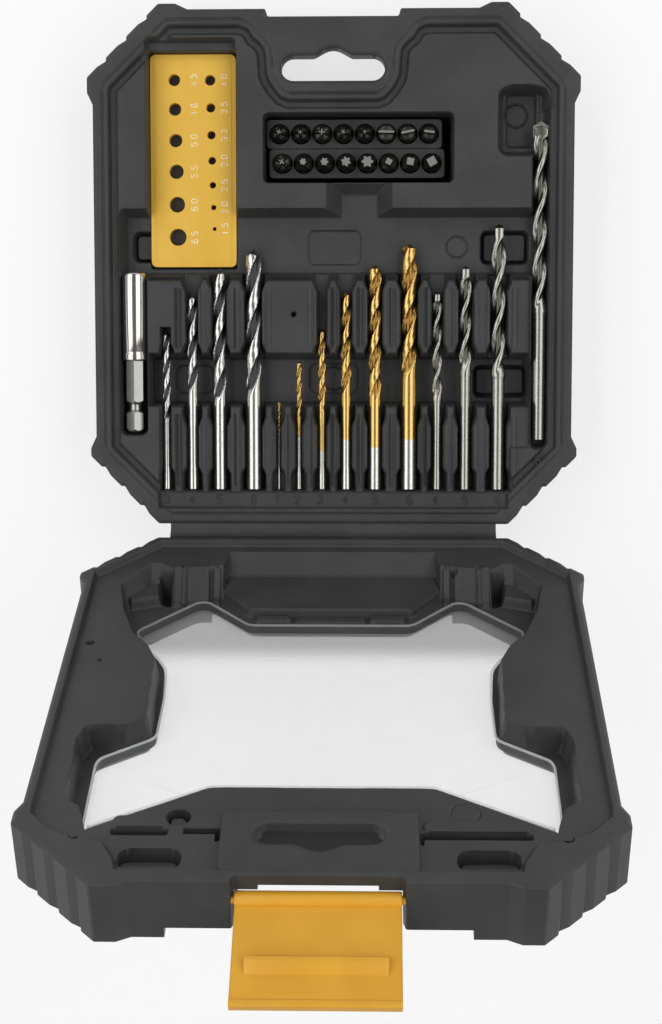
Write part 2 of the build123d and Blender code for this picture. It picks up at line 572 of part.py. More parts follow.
with BuildPart() as web:
    near, far = RIM_GAP + 0.05, RIM_GAP + 0.05 + WEB_THICKNESS
    middle = WEB_THICKNESS / 2
    along_case(tray_plane, [
        (REAR_EDGE, -near),
        (middle * 1.6, middle * 0.9),
        on_lid_edge(middle * 1.6, -middle * 0.9),
        on_lid_edge(REAR_EDGE - WEB_GAP, near),
        on_lid_edge(REAR_EDGE - WEB_GAP, far),
        on_lid_edge(0.3, far),
        (0.3, -far),
        (REAR_EDGE, -far),
    ], -WEB_HALF_WIDTH, WEB_HALF_WIDTH)

web.part.label = "hinge_web"
export_step(web.part, "parts/hinge_web.step")

# ---------------------------------------------------------------- latch
latch_axis = lid_plane.from_local_coords(Vector(0, pivot_u, pivot_height))
droop = math.radians(LATCH_DROOP)
latch_along = lid_plane.y_dir * math.cos(droop) + lid_plane.z_dir * math.sin(droop)
latch_plane = Plane(origin=latch_axis, x_dir=lid_plane.x_dir, z_dir=lid_plane.x_dir.cross(latch_along))

with BuildPart() as latch:
    inner, outer = -LATCH_PLATE[1], -LATCH_PLATE[0]
    along_case(latch_plane, [(0, inner), (LATCH_REACH, inner), (LATCH_REACH, outer), (0, outer)], -LATCH_HALF, LATCH_HALF)
    along_case(latch_plane, [(reach, outer + rise) for reach, rise in LATCH_LIP] + [(LATCH_REACH, outer - 0.5),
               (LATCH_LIP[0][0], outer - 0.5)], -LATCH_HALF, LATCH_HALF)
    along_case(latch_plane, [(reach, inner - rise) for reach, rise in LATCH_RIB] + [(LATCH_RIB[-1][0], inner + 0.5),
               (LATCH_RIB[0][0], inner + 0.5)], -LATCH_RIB_HALF, LATCH_RIB_HALF)
    with BuildSketch(along_x(latch_plane, -LATCH_HALF, 0, 0)) as barrel:
        Circle(LATCH_BARREL)
    extrude(barrel.sketch, amount=2 * LATCH_HALF)
    with BuildSketch(along_x(latch_plane, -LATCH_HALF - PIN_LENGTH, 0, 0)) as pin:
        Circle(PIN_RADIUS)
    extrude(pin.sketch, amount=2 * (LATCH_HALF + PIN_LENGTH))

latch.part.label = "latch"
export_step(latch.part, "parts/latch.step")

# ---------------------------------------------------------------- drill gauge
with BuildPart() as gauge:
    centre_x, centre_u = GAUGE_CENTRE
    edge_x = (centre_x - GAUGE_WIDTH / 2, centre_x + GAUGE_WIDTH / 2)
    edge_u = (centre_u - GAUGE_LENGTH / 2, centre_u + GAUGE_LENGTH / 2)
    base = tray_at(GAUGE_LEVEL + GAUGE_THICKNESS)
    extrude(box_on(base, edge_x, edge_u, GAUGE_CORNER), amount=GAUGE_THICKNESS)
    for gauge_hole in GAUGE_HOLES:
        with BuildSketch(base) as hole:
            with Locations((centre_x + gauge_hole.x, centre_u + gauge_hole.u)):
                Circle(gauge_hole.size / 2)
        extrude(hole.sketch, amount=GAUGE_THICKNESS, mode=Mode.SUBTRACT)

gauge.part.label = "drill_gauge"
export_step(gauge.part, "parts/drill_gauge.step")


# ---------------------------------------------------------------- bit strips and bits
def bit_place(row, index):
    """Centre of a bit in x and u, counted from the left of the upper (0) or the lower (1) strip."""
    side = 1 if row == 0 else -1
    x = STRIP_CENTRE_X - side * STRIP_SHIFT + (index - (BITS_IN_STRIP - 1) / 2) * BIT_PITCH
    return x, STRIP_SEAM + side * (STRIP_GAP + STRIP_WIDTH / 2)


for row, strip_name in enumerate(("bit_strip_upper", "bit_strip_lower")):
    left_x, strip_u = bit_place(row, 0)
    right_x, _ = bit_place(row, BITS_IN_STRIP - 1)
    mid_x = (left_x + right_x) / 2
    with BuildPart() as strip:
        base_level = BIT_BASE_LEVEL + FIT_GAP + STRIP_FLOOR
        extrude(box_on(tray_at(base_level), (mid_x - STRIP_LENGTH / 2, mid_x + STRIP_LENGTH / 2),
                       (strip_u - STRIP_WIDTH / 2, strip_u + STRIP_WIDTH / 2), STRIP_CORNER),
                amount=base_level - STRIP_TOP_LEVEL)
        for index in range(BITS_IN_STRIP):
            with BuildSketch(tray_at(BIT_BASE_LEVEL + FIT_GAP)) as socket:
                with Locations(bit_place(row, index)):
                    Circle(SOCKET_RADIUS)
            extrude(socket.sketch, amount=TRAY_DEPTH, mode=Mode.SUBTRACT)
    strip.part.label = strip_name
    export_step(strip.part, f"parts/{strip_name}.step")


def tip_face(plane, place, bit, scale=1.0):
    """Cross-section of a bit's tip: a cross, a blade, a six-lobed star or a square."""
    radius = bit.size / 2 * scale
    with BuildSketch(plane) as face:
        with Locations(place):
            if bit.kind == "cross":
                Rectangle(2 * radius, 0.42 * radius)
                Rectangle(0.42 * radius, 2 * radius)
            elif bit.kind == "slot":
                Rectangle(2 * radius, 0.3 * radius)
            elif bit.kind == "square":
                Rectangle(2 * radius, 2 * radius)
            else:
                RegularPolygon(radius, 3)
                RegularPolygon(radius, 3, rotation=60)
    return face.sketch


for row, (row_name, bits) in enumerate((("upper", UPPER_BITS), ("lower", LOWER_BITS))):
    for index, bit in enumerate(bits):
        place = bit_place(row, index)
        x, u = place
        with BuildPart() as bit_part:
            with BuildSketch(tray_at(BIT_BASE_LEVEL)) as hexagon:
                with Locations(place):
                    RegularPolygon(HEX_SIZE / 2, 6, major_radius=False, rotation=30)
            extrude(hexagon.sketch, amount=BIT_LENGTH - BIT_TIP)
            shoulder = tray_at(BIT_BASE_LEVEL - BIT_LENGTH + BIT_TIP)
            with BuildSketch(shoulder) as wide:
                with Locations(place):
                    RegularPolygon(HEX_SIZE / 2 - 0.15, 12, major_radius=False)
            with BuildSketch(shoulder.offset(1.5)) as narrow:
                with Locations(place):
                    RegularPolygon(bit.size / 2, 12, major_radius=False)
            loft([wide.sketch, narrow.sketch])
            if bit.kind in ("star", "square"):
                extrude(tip_face(shoulder.offset(1.5), place, bit, 1.0), amount=BIT_TIP - 1.5)
            else:
                end = 0.35 if bit.kind == "cross" else 1.0
                loft([tip_face(shoulder.offset(1.5), place, bit), tip_face(shoulder.offset(BIT_TIP), place, bit, end)])
        bit_name = f"bit_{row_name}_{index + 1}"
        bit_part.part.label = bit_name
        export_step(bit_part.part, f"parts/{bit_name}.step")


# ---------------------------------------------------------------- magnetic holder
def hex_bar(plane, across, length, mode=Mode.ADD):
    """Hexagonal bar from a plane, with two flats lying level."""
    with BuildSketch(plane) as hexagon:
        RegularPolygon(across / 2, 6, major_radius=False)
    extrude(hexagon.sketch, amount=length, mode=mode)


sleeve_rear = HOLDER_FRONT - SLEEVE_LENGTH
magnet_front = HOLDER_FRONT - SLEEVE_SOCKET
shank_front = sleeve_rear + SHANK_SUNK

with BuildPart() as sleeve:
    edge = 0.4
    turned(tray_plane, HOLDER_X, -DRILL_LEVEL, [
        (sleeve_rear, 0), (sleeve_rear, SLEEVE_RADIUS - edge), (sleeve_rear + edge, SLEEVE_RADIUS),
        (HOLDER_FRONT - edge, SLEEVE_RADIUS), (HOLDER_FRONT, SLEEVE_RADIUS - edge), (HOLDER_FRONT, 0)])
    hex_bar(along_u(tray_plane, HOLDER_X, magnet_front, -DRILL_LEVEL), HEX_SIZE + 2 * SOCKET_CLEARANCE, SLEEVE_SOCKET,
            Mode.SUBTRACT)
    hex_bar(along_u(tray_plane, HOLDER_X, sleeve_rear, -DRILL_LEVEL), HEX_SIZE, SHANK_SUNK, Mode.SUBTRACT)
    with BuildSketch(along_u(tray_plane, HOLDER_X, magnet_front - MAGNET_LENGTH, -DRILL_LEVEL)) as seat:
        Circle(MAGNET_RADIUS)
    extrude(seat.sketch, amount=MAGNET_LENGTH, mode=Mode.SUBTRACT)

sleeve.part.label = "holder_sleeve"
export_step(sleeve.part, "parts/holder_sleeve.step")

with BuildPart() as magnet:
    with BuildSketch(along_u(tray_plane, HOLDER_X, magnet_front - MAGNET_LENGTH, -DRILL_LEVEL)) as disc:
        Circle(MAGNET_RADIUS)
    extrude(disc.sketch, amount=MAGNET_LENGTH)

magnet.part.label = "holder_magnet"
export_step(magnet.part, "parts/holder_magnet.step")

with BuildPart() as shank:
    hex_bar(along_u(tray_plane, HOLDER_X, SHANK_REAR, -DRILL_LEVEL), HEX_SIZE, shank_front - SHANK_REAR)
    groove_rear, groove_front = (SHANK_REAR + reach for reach in SHANK_GROOVE)
    with BuildSketch(along_u(tray_plane, HOLDER_X, groove_rear, -DRILL_LEVEL)) as ring:
        Circle(HEX_SIZE)
        Circle(SHANK_GROOVE_RADIUS, mode=Mode.SUBTRACT)
    extrude(ring.sketch, amount=groove_front - groove_rear, mode=Mode.SUBTRACT)

shank.part.label = "holder_shank"
export_step(shank.part, "parts/holder_shank.step")


# ---------------------------------------------------------------- drills
def carbide_plate(drill, mode):
    """Carbide plate across the front of a masonry drill, with a roof-shaped cutting edge."""
    radius, tip = drill.size / 2, drill.end + drill.length
    half_thickness = CARBIDE_SHARE * drill.size / 2
    reach = CARBIDE_DEPTH * drill.size
    loop = [(-radius, tip - reach), (radius, tip - reach), (radius, tip - POINT_SLOPE * radius), (0, tip),
            (-radius, tip - POINT_SLOPE * radius)]
    plate = face_on(tray_at(DRILL_LEVEL + half_thickness), [(drill.x + x, u) for x, u in loop])
    extrude(plate, amount=2 * half_thickness, mode=mode)


for drill in DRILLS:
    radius, rear = drill.size / 2, drill.end
    tip = rear + drill.length
    with BuildPart() as drill_part:
        if drill.kind == "metal":
            profile = [(rear, 0), (rear, radius), (tip - POINT_SLOPE * radius, radius), (tip, 0)]
        elif drill.kind == "wood":
            brad_radius, brad_length = (share * drill.size for share in BRAD_POINT)
            profile = [(rear, 0), (rear, radius), (tip - brad_length, radius), (tip - brad_length, brad_radius), (tip, 0)]
        else:
            shank_radius, flute_rear = MASONRY_SHANK * radius, tip - drill.flute
            profile = [(rear, 0), (rear, shank_radius), (flute_rear - SHANK_RAMP, shank_radius), (flute_rear, radius),
                       (tip - 1.4 * POINT_SLOPE * radius, radius), (tip - 0.7 * POINT_SLOPE * radius, 0)]
        turned(tray_plane, drill.x, -DRILL_LEVEL, profile)
        if drill.kind == "masonry":
            carbide_plate(drill, Mode.SUBTRACT)
    drill_part.part.label = drill.name
    export_step(drill_part.part, f"parts/{drill.name}.step")
    if drill.kind == "masonry":
        tip_name = drill.name.replace("masonry_drill", "carbide_tip")
        with BuildPart() as tip_part:
            carbide_plate(drill, Mode.ADD)
        tip_part.part.label = tip_name
        export_step(tip_part.part, f"parts/{tip_name}.step")
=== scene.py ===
"""Open drill bit case: a blow-moulded tray and windowed lid, with its drills, bits, holder and gauge.

Both halves of the case are drawn in the same coordinates, in millimetres: x across the case, u from the
hinge axis towards the latch side, and a height over the plane where the two rims meet. A Half turns
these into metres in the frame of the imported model.
"""
from __future__ import annotations

import logging
import math
from dataclasses import dataclass, field
from enum import Enum
from typing import Callable, Optional, Sequence, Union

import bpy
import numpy as np
from mathutils import Matrix, Vector


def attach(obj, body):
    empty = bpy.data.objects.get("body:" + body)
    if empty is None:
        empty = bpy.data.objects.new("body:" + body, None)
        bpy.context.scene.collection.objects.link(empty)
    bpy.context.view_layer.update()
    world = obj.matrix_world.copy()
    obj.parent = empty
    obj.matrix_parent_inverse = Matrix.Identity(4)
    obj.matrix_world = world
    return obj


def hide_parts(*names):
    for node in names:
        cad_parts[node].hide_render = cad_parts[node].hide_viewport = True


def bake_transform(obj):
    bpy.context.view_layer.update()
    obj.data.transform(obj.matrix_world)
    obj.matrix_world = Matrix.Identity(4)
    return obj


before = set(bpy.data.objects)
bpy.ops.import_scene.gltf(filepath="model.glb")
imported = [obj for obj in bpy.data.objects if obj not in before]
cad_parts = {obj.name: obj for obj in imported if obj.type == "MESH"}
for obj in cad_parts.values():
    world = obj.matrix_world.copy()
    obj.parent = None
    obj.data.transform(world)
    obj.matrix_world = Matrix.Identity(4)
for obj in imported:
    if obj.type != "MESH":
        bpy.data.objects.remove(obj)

log = logging.getLogger("drill_case")
Array = np.ndarray
Points = Sequence[tuple[float, float]]

MM = 0.001
HALF_WIDTH = 90.3
REAR_EDGE = 3.0
FRONT_EDGE = 195.8
TRAY_DEPTH = 28.0
LID_DEPTH = 18.5
LID_PAD = 4.0
CENTRE_U = (REAR_EDGE + FRONT_EDGE) / 2
LID_OPENS = math.radians(114.75)
RIM_GAP = 0.15
DRILL_LEVEL = 6.0
BAY_HALF = 24.5
BAY_REACH = 162.0


# ---------------------------------------------------------------------------------------------- materials
Value = Union["Wire", float]


@dataclass(frozen=True)
class Wire:
    """A node's output, on which Python arithmetic adds Math nodes."""

    tree: bpy.types.NodeTree
    socket: bpy.types.NodeSocket

    def math(self, operation: str, *values: Value, clamp: bool = False) -> "Wire":
        """Add a Math node.

        Args:
            operation: the node's operation.
            values: its inputs, wires or plain numbers.
            clamp: keep the result between 0 and 1.

        Returns:
            The node's output.
        """
        node = self.tree.nodes.new("ShaderNodeMath")
        node.operation, node.use_clamp = operation, clamp
        for socket, value in zip(node.inputs, values):
            if isinstance(value, Wire):
                self.tree.links.new(value.socket, socket)
            else:
                socket.default_value = value
        return Wire(self.tree, node.outputs[0])

    def __add__(self, other: Value) -> "Wire":
        """Sum."""
        return self.math("ADD", self, other)

    __radd__ = __add__

    def __sub__(self, other: Value) -> "Wire":
        """Difference."""
        return self.math("SUBTRACT", self, other)

    def __rsub__(self, other: Value) -> "Wire":
        """Difference from a number on the left."""
        return self.math("SUBTRACT", other, self)

    def __mul__(self, other: Value) -> "Wire":
        """Product."""
        return self.math("MULTIPLY", self, other)

    __rmul__ = __mul__

    def __truediv__(self, other: Value) -> "Wire":
        """Quotient."""
        return self.math("DIVIDE", self, other)

    def __pow__(self, other: Value) -> "Wire":
        """Power."""
        return self.math("POWER", self, other)

    def step(self, low: float, high: float) -> "Wire":
        """Smooth 0 to 1 as the value goes from low to high."""
        node = self.tree.nodes.new("ShaderNodeMapRange")
        node.interpolation_type = "SMOOTHSTEP"
        node.inputs["From Min"].default_value, node.inputs["From Max"].default_value = low, high
        self.tree.links.new(self.socket, node.inputs["Value"])
        return Wire(self.tree, node.outputs["Result"])


Input = Union[Wire, float, Sequence[float]]


class Coat:
    """One material and the nodes in it."""

    def __init__(self, name: str) -> None:
        """Start an empty material.

        Args:
            name: the material's name.
        """
        self.material = bpy.data.materials.new(name)
        self.material.use_nodes = True
        self.tree = self.material.node_tree
        self.tree.nodes.clear()

    def node(self, kind: str, settings: Optional[dict] = None, inputs: Optional[dict] = None,
             output: Union[int, str] = 0) -> Wire:
        """Add a node of any type.

        Args:
            kind: the node's type, without its ShaderNode prefix.
            settings: its properties, which are set first.
            inputs: the values or wires of its sockets, by name or index.
            output: the output that is wanted.

        Returns:
            The output's wire.
        """
        node = self.tree.nodes.new("ShaderNode" + kind)
        for name, value in (settings or {}).items():
            setattr(node, name, value)
        for name, value in (inputs or {}).items():
            if isinstance(value, Wire):
                self.tree.links.new(value.socket, node.inputs[name])
            else:
                node.inputs[name].default_value = value
        return Wire(self.tree, node.outputs[output])

    def place(self) -> Wire:
        """Object coordinates, which are the frame's own metres on every piece."""
        return self.node("TexCoord", output="Object")

    def stretched(self, scale: Sequence[float]) -> Wire:
        """Object coordinates scaled along each axis, for grain that runs one way."""
        return self.node("Mapping", inputs={"Vector": self.place(), "Scale": tuple(scale)})

    def noise(self, size: float, detail: float = 2.0, rough: float = 0.5, at: Optional[Wire] = None) -> Wire:
        """Soft noise about 0.5.

        Args:
            size: the size of one patch in metres.
            detail: octaves.
            rough: share of the finer octaves.
            at: coordinates, the object's own when left out.

        Returns:
            The noise's value.
        """
        return self.node("TexNoise", inputs={"Vector": at or self.place(), "Scale": 1 / size, "Detail": detail,
                                             "Roughness": rough}, output=0)

    def blend(self, share: Input, low: Input, high: Input) -> Wire:
        """Colour between two colours."""
        return self.node("Mix", {"data_type": "RGBA"}, {0: share, 6: low, 7: high}, output=2)

    def bump(self, height: Wire, distance: float, strength: float = 1.0) -> Wire:
        """Normal bumped by a height that is distance metres at 1."""
        return self.node("Bump", inputs={"Height": height, "Distance": distance, "Strength": strength})

    def finish(self, **inputs: Input) -> bpy.types.Material:
        """Close the material with one Principled shader.

        Args:
            inputs: its sockets by name, with _ for a space.

        Returns:
            The finished material.
        """
        named = {name.replace("_", " "): value for name, value in inputs.items()}
        surface = self.node("BsdfPrincipled", inputs=named)
        return self.close(surface)

    def close(self, surface: Wire) -> bpy.types.Material:
        """Send a shader to the material's output."""
        end = self.tree.nodes.new("ShaderNodeOutputMaterial")
        self.tree.links.new(surface.socket, end.inputs["Surface"])
        return self.material


def colour(red: float, green: float, blue: float) -> tuple[float, float, float, float]:
    """Linear colour of a colour that is given as 0 to 255 on a screen."""
    return tuple((c / 255 / 12.92 if c < 10.4 else ((c / 255 + 0.055) / 1.055) ** 2.4) for c in (red, green,
                        blue)) + (1.0,)


@dataclass(frozen=True)
class GrainedPlastic:
    """Moulded plastic with a fine eroded grain and faint clouding."""

    name: str
    tint: tuple[float, float, float, float]
    light_tint: tuple[float, float, float, float]
    roughness: float = 0.5
    grain: float = 0.00045
    depth: float = 0.00011

    def build(self) -> bpy.types.Material:
        """The material."""
        coat = Coat(self.name)
        grain = coat.noise(self.grain, 3.0, 0.6)
        cloud = coat.noise(0.021, 3.0, 0.55)
        speck = coat.noise(0.0009, 2.0, 0.6).step(0.6, 0.75)
        shade = (cloud.step(0.3, 0.7) * 0.5 + grain * 0.4 + speck * 0.5)
        rough = cloud * 0.14 + (grain * 0.12 + (self.roughness - 0.13))
        return coat.finish(Base_Color=coat.blend(shade, self.tint, self.light_tint), Roughness=rough,
                           Specular_IOR_Level=0.42, Normal=coat.bump(grain, self.depth))


@dataclass(frozen=True)
class YellowPlastic:
    """Glossier yellow plastic with a faint orange-peel skin and flow marks."""

    name: str
    tint: tuple[float, float, float, float]
    light_tint: tuple[float, float, float, float]

    def build(self) -> bpy.types.Material:
        """The material."""
        coat = Coat(self.name)
        peel = coat.noise(0.0016, 2.0, 0.5)
        flow = coat.noise(0.018, 2.0, 0.5, at=coat.stretched((1.0, 0.35, 1.0)))
        return coat.finish(Base_Color=coat.blend(flow.step(0.25, 0.75), self.tint, self.light_tint),
                           Roughness=peel * 0.08 + 0.34, Subsurface_Weight=0.0,
                           Normal=coat.bump(peel, 0.00002))


@dataclass(frozen=True)
class ClearPlastic:
    """Clear vacuum-formed sheet: faint haze, and near its rear edge a greyer band of painted shade with thin pale lines
    of painted reflection.
    """

    name: str
    haze: float = 0.16
    # band: extra opacity of the painted shade band near the rear edge
    band: float = 0.3
    painted_reflection_lines: tuple[float, ...] = (0.0014, 0.0096, 0.025, 0.0365, 0.0465, 0.0555)

    def build(self) -> bpy.types.Material:
        """The material.

        A painted reflection line is a narrow step round each of the given distances from the middle. The lines and the
        band of painted shade fade out along the lid, which leans: the distance from the hinge is y and z weighted by
        the lid's slope.
        """
        coat = Coat(self.name)
        side = coat.node("SeparateXYZ", inputs={0: coat.place()}, output=0).math("ABSOLUTE")
        y = coat.node("SeparateXYZ", inputs={0: coat.place()}, output=1)
        z = coat.node("SeparateXYZ", inputs={0: coat.place()}, output=2)
        along = (y - 0.0994) * 0.41866 + (z - 0.028) * 0.90814
        # Pale lines at these distances from the middle: painted reflections.
        near = 1.0 - (side - self.painted_reflection_lines[0]).math("ABSOLUTE").step(0.0003, 0.0012)
        for place in self.painted_reflection_lines[1:]:
            near = near + (1.0 - (side - place).math("ABSOLUTE").step(0.0003, 0.0012))
        line = near * (1.0 - along.step(0.06, 0.1))
        # Greyer, more opaque band near the rear edge: painted shade.
        band = 1.0 - along.step(0.052, 0.068)
        mist = coat.noise(0.009, 3.0, 0.6)
        shade = coat.blend(band * (1.0 - line), (0.9, 0.92, 0.92, 1.0), (0.42, 0.43, 0.42, 1.0))
        return coat.finish(Base_Color=shade, Roughness=mist * 0.06 + 0.1, IOR=1.45,
                           Alpha=mist * 0.05 + self.haze + band * self.band + line * 0.25, Specular_IOR_Level=0.08)


class Grain(Enum):
    """Direction of the fine scratches on a metal."""

    TURNED = (0.25, 6.0, 0.25)
    DRAWN = (5.0, 0.2, 5.0)
    TUMBLED = (1.0, 1.0, 1.0)


@dataclass(frozen=True)
class Steel:
    """Metal with grinding marks and stains, polished where its land attribute is 1 and matt in its hollows.

    A fade makes two tones along y: the first behind the two values, and the second in front of them. A bright
    height leaves the metal dull up to that height, and bright above it.
    """

    name: str
    tint: tuple[float, float, float, float]
    dull: tuple[float, float, float, float]
    roughness: float = 0.2
    dull_roughness: float = 0.42
    grain: Grain = Grain.TURNED
    lands: bool = False
    fade: Optional[tuple[float, float]] = None
    fade_tint: tuple[float, float, float, float] = (0.6, 0.6, 0.6, 1.0)
    bright_from: Optional[float] = None

    def build(self) -> bpy.types.Material:
        """The material."""
        coat = Coat(self.name)
        scratch = coat.noise(0.0007, 3.0, 0.6, at=coat.stretched(self.grain.value))
        stain = coat.noise(0.003, 3.0, 0.6)
        polish: Value = 1.0 - stain.step(0.5, 0.8) * 0.25
        if self.lands:
            polish = coat.node("Attribute", {"attribute_type": "GEOMETRY", "attribute_name": "land"},
                               output="Fac") * polish
        if self.bright_from is not None:
            tall = coat.node("SeparateXYZ", inputs={0: coat.place()}, output=2)
            polish = tall.step(self.bright_from, self.bright_from + 0.0004) * 0.9 + stain * 0.12
        tint: Input = self.tint
        if self.fade:
            along = coat.node("SeparateXYZ", inputs={0: coat.place()}, output=1)
            tint = coat.blend(along.step(*self.fade), self.tint, self.fade_tint)
        base = coat.blend(polish, self.dull, tint)
        rough = scratch * 0.12 + (self.dull_roughness - 0.06) + polish * (self.roughness - self.dull_roughness)
        return coat.finish(Base_Color=base, Metallic=1.0, Roughness=rough, Normal=coat.bump(scratch, 0.000012, 0.5))


CASE = GrainedPlastic("case_plastic", colour(46, 47, 47), colour(62, 63, 63))
STRIP = GrainedPlastic("strip_plastic", colour(44, 44, 44), colour(62, 62, 61), 0.4, 0.0006, 0.00002)
YELLOW = YellowPlastic("yellow_plastic", colour(216, 158, 40), colour(226, 168, 50))
PALE_YELLOW = YellowPlastic("gauge_plastic", colour(224, 176, 60), colour(234, 188, 76))
NUMBER = YellowPlastic("number_plastic", colour(250, 232, 180), colour(255, 244, 208))
CLEAR = ClearPlastic("window_plastic")
WALL = ClearPlastic("window_wall_plastic", 0.02, 0.0)
# Paler, more opaque finish of the window's lip and front strip: a painted highlight along the window's edges.
LIP_HIGHLIGHT = ClearPlastic("window_lip_highlight_plastic", 0.5, 0.0)
BIT = Steel("bit_steel", colour(205, 202, 194), colour(58, 56, 50), 0.3, 0.4, Grain.TUMBLED, bright_from=0.0274)
POLISHED = Steel("sleeve_steel", colour(212, 209, 202), colour(200, 196, 188), 0.14, 0.18, Grain.TURNED)
SHANK = Steel("shank_steel", colour(168, 167, 162), colour(138, 136, 130), 0.3, 0.38, Grain.DRAWN)
BRIGHT = Steel("wood_drill_steel", colour(200, 198, 193), colour(74, 74, 76), 0.22, 0.52, Grain.TURNED, lands=True)
GREY_STEEL = Steel("masonry_drill_steel", colour(164, 162, 155), colour(98, 98, 92), 0.27, 0.4, Grain.TURNED,
                   lands=True)
MAGNET = Steel("magnet_steel", colour(150, 148, 140), colour(110, 108, 102), 0.3)
CARBIDE = Steel("carbide", colour(150, 148, 140), colour(104, 102, 94), 0.36, 0.5, Grain.TUMBLED)


# ---------------------------------------------------------------------------------------------- frames
@dataclass(frozen=True)
class Half:
    """The coordinates of one half of the case: its x, u and height directions in the model's frame."""

    across: tuple[float, float, float]
    along: tuple[float, float, float]
    up: tuple[float, float, float]
    origin: tuple[float, float, float] = (0.0, CENTRE_U, TRAY_DEPTH)

    def place(self, x: Array, u: Array, height: Array) -> Array:
        """Points in metres: the origin plus x, u and height along their three directions."""
        x, u, height = np.broadcast_arrays(x, u, height)
        axes = np.array((self.across, self.along, self.up))
        local = np.stack((x, u, height), axis=-1).reshape(-1, 3)
        return (np.array(self.origin) + local @ axes) * MM

    @property
    def mirrored(self) -> bool:
        """True where x, u and height make a left-handed set, so faces turn over."""
        return float(np.dot(np.cross(self.across, self.along), self.up)) < 0


SWING = (math.sin(LID_OPENS), math.cos(LID_OPENS))
TRAY = Half((-1, 0, 0), (0, -1, 0), (0, 0, 1))
LID = Half((-1, 0, 0), (0, -SWING[1], SWING[0]), (0, -SWING[0], -SWING[1]))
STANDING = Half((-1, 0, 0), (0, 0, 1), (0, -1, 0))


# ---------------------------------------------------------------------------------------------- meshes
def mesh_piece(name: str, points: Array, faces: Sequence[Array], sharp: float = 50.0) -> bpy.types.Object:
    """Object at the origin from points and faces, shaded smooth, with its sharp edges marked.

    Args:
        name: the object's name.
        points: one row of three metres for each vertex.
        faces: arrays of vertex numbers, one face a row; each array may have its own face size.
        sharp: angle in degrees from which an edge is sharp.

    Returns:
        The object, linked to the scene.
    """
    mesh = bpy.data.meshes.new(name)
    loops = np.concatenate([np.asarray(block).ravel() for block in faces]).astype(np.int32)
    sizes = np.concatenate([np.full(len(block), np.asarray(block).shape[1]) for block in faces])
    mesh.vertices.add(len(points))
    mesh.vertices.foreach_set("co", np.asarray(points, np.float32).ravel())
    mesh.loops.add(len(loops))
    mesh.loops.foreach_set("vertex_index", loops)
    mesh.polygons.add(len(sizes))
    mesh.polygons.foreach_set("loop_start", np.concatenate(([0], np.cumsum(sizes)[:-1])).astype(np.int32))
    mesh.polygons.foreach_set("loop_total", sizes.astype(np.int32))
    mesh.update(calc_edges=True)
    mesh.validate()
    piece = bpy.data.objects.new(name, mesh)
    bpy.context.scene.collection.objects.link(piece)
    crease(mesh, sharp)
    return piece


def crease(mesh: bpy.types.Mesh, sharp: float) -> None:
    """Shade a mesh smooth, except flat areas, and mark the edges whose two faces meet at more than an angle.

    Args:
        mesh: the mesh.
        sharp: the angle in degrees.
    """
    count = len(mesh.polygons)
    normals, totals = np.zeros(count * 3), np.zeros(count, np.int32)
    mesh.polygons.foreach_get("normal", normals)
    mesh.polygons.foreach_get("loop_total", totals)
    edges = np.zeros(len(mesh.loops), np.int32)
    mesh.loops.foreach_get("edge_index", edges)
    owner = np.repeat(np.arange(count), totals)
    order = np.argsort(edges, kind="stable")
    edges, owner = edges[order], owner[order]
    pair = np.flatnonzero(edges[1:] == edges[:-1])
    normals = normals.reshape(-1, 3)
    cosine = (normals[owner[pair]] * normals[owner[pair + 1]]).sum(1)
    marks = np.zeros(len(mesh.edges), bool)
    marks[edges[pair]] = cosine < math.cos(math.radians(sharp))
    smooth = totals < 9
    level = pair[cosine > 1 - 2e-7]
    smooth[owner[level]] = smooth[owner[level + 1]] = False
    attribute = mesh.attributes.get("sharp_edge") or mesh.attributes.new("sharp_edge", "BOOLEAN", "EDGE")
    attribute.data.foreach_set("value", marks)
    mesh.polygons.foreach_set("use_smooth", smooth)
    mesh.update()


def apply_modifiers(piece: bpy.types.Object, sharp: float = 50.0) -> bpy.types.Object:
    """Bake an object's modifiers into its mesh.

    Args:
        piece: the object.
        sharp: angle in degrees from which an edge is sharp.

    Returns:
        The same object.
    """
    graph = bpy.context.evaluated_depsgraph_get()
    mesh = bpy.data.meshes.new_from_object(piece.evaluated_get(graph))
    piece.modifiers.clear()
    piece.data = mesh
    crease(mesh, sharp)
    return piece


def combine(base: bpy.types.Object, tool: bpy.types.Object, operation: str) -> bpy.types.Object:
    """Cut, join or intersect two closed meshes, and remove the second.

    Args:
        base: the mesh that is kept.
        tool: the mesh that works on it.
        operation: UNION, DIFFERENCE or INTERSECT.

    Returns:
        The first object.
    """
    step = base.modifiers.new("shape", "BOOLEAN")
    step.operation, step.object, step.solver = operation, tool, "MANIFOLD"
    apply_modifiers(base)
    bpy.data.objects.remove(tool)
    return base


def grid_faces(rows: int, columns: int, closed: bool = False) -> Array:
    """Quads of a grid of points, with its columns joined round when closed."""
    row, column = np.meshgrid(np.arange(rows - 1), np.arange(columns if closed else columns - 1), indexing="ij")
    after = (column + 1) % columns
    first, second = row * columns + column, row * columns + after
    return np.stack((first, second, second + columns, first + columns), axis=-1).reshape(-1, 4)


def signed_area(loop: Array) -> float:
    """Area inside a closed loop, positive when it runs anticlockwise."""
    following = np.roll(loop, -1, axis=0)
    return float((loop[:, 0] * following[:, 1] - loop[:, 1] * following[:, 0]).sum() / 2)


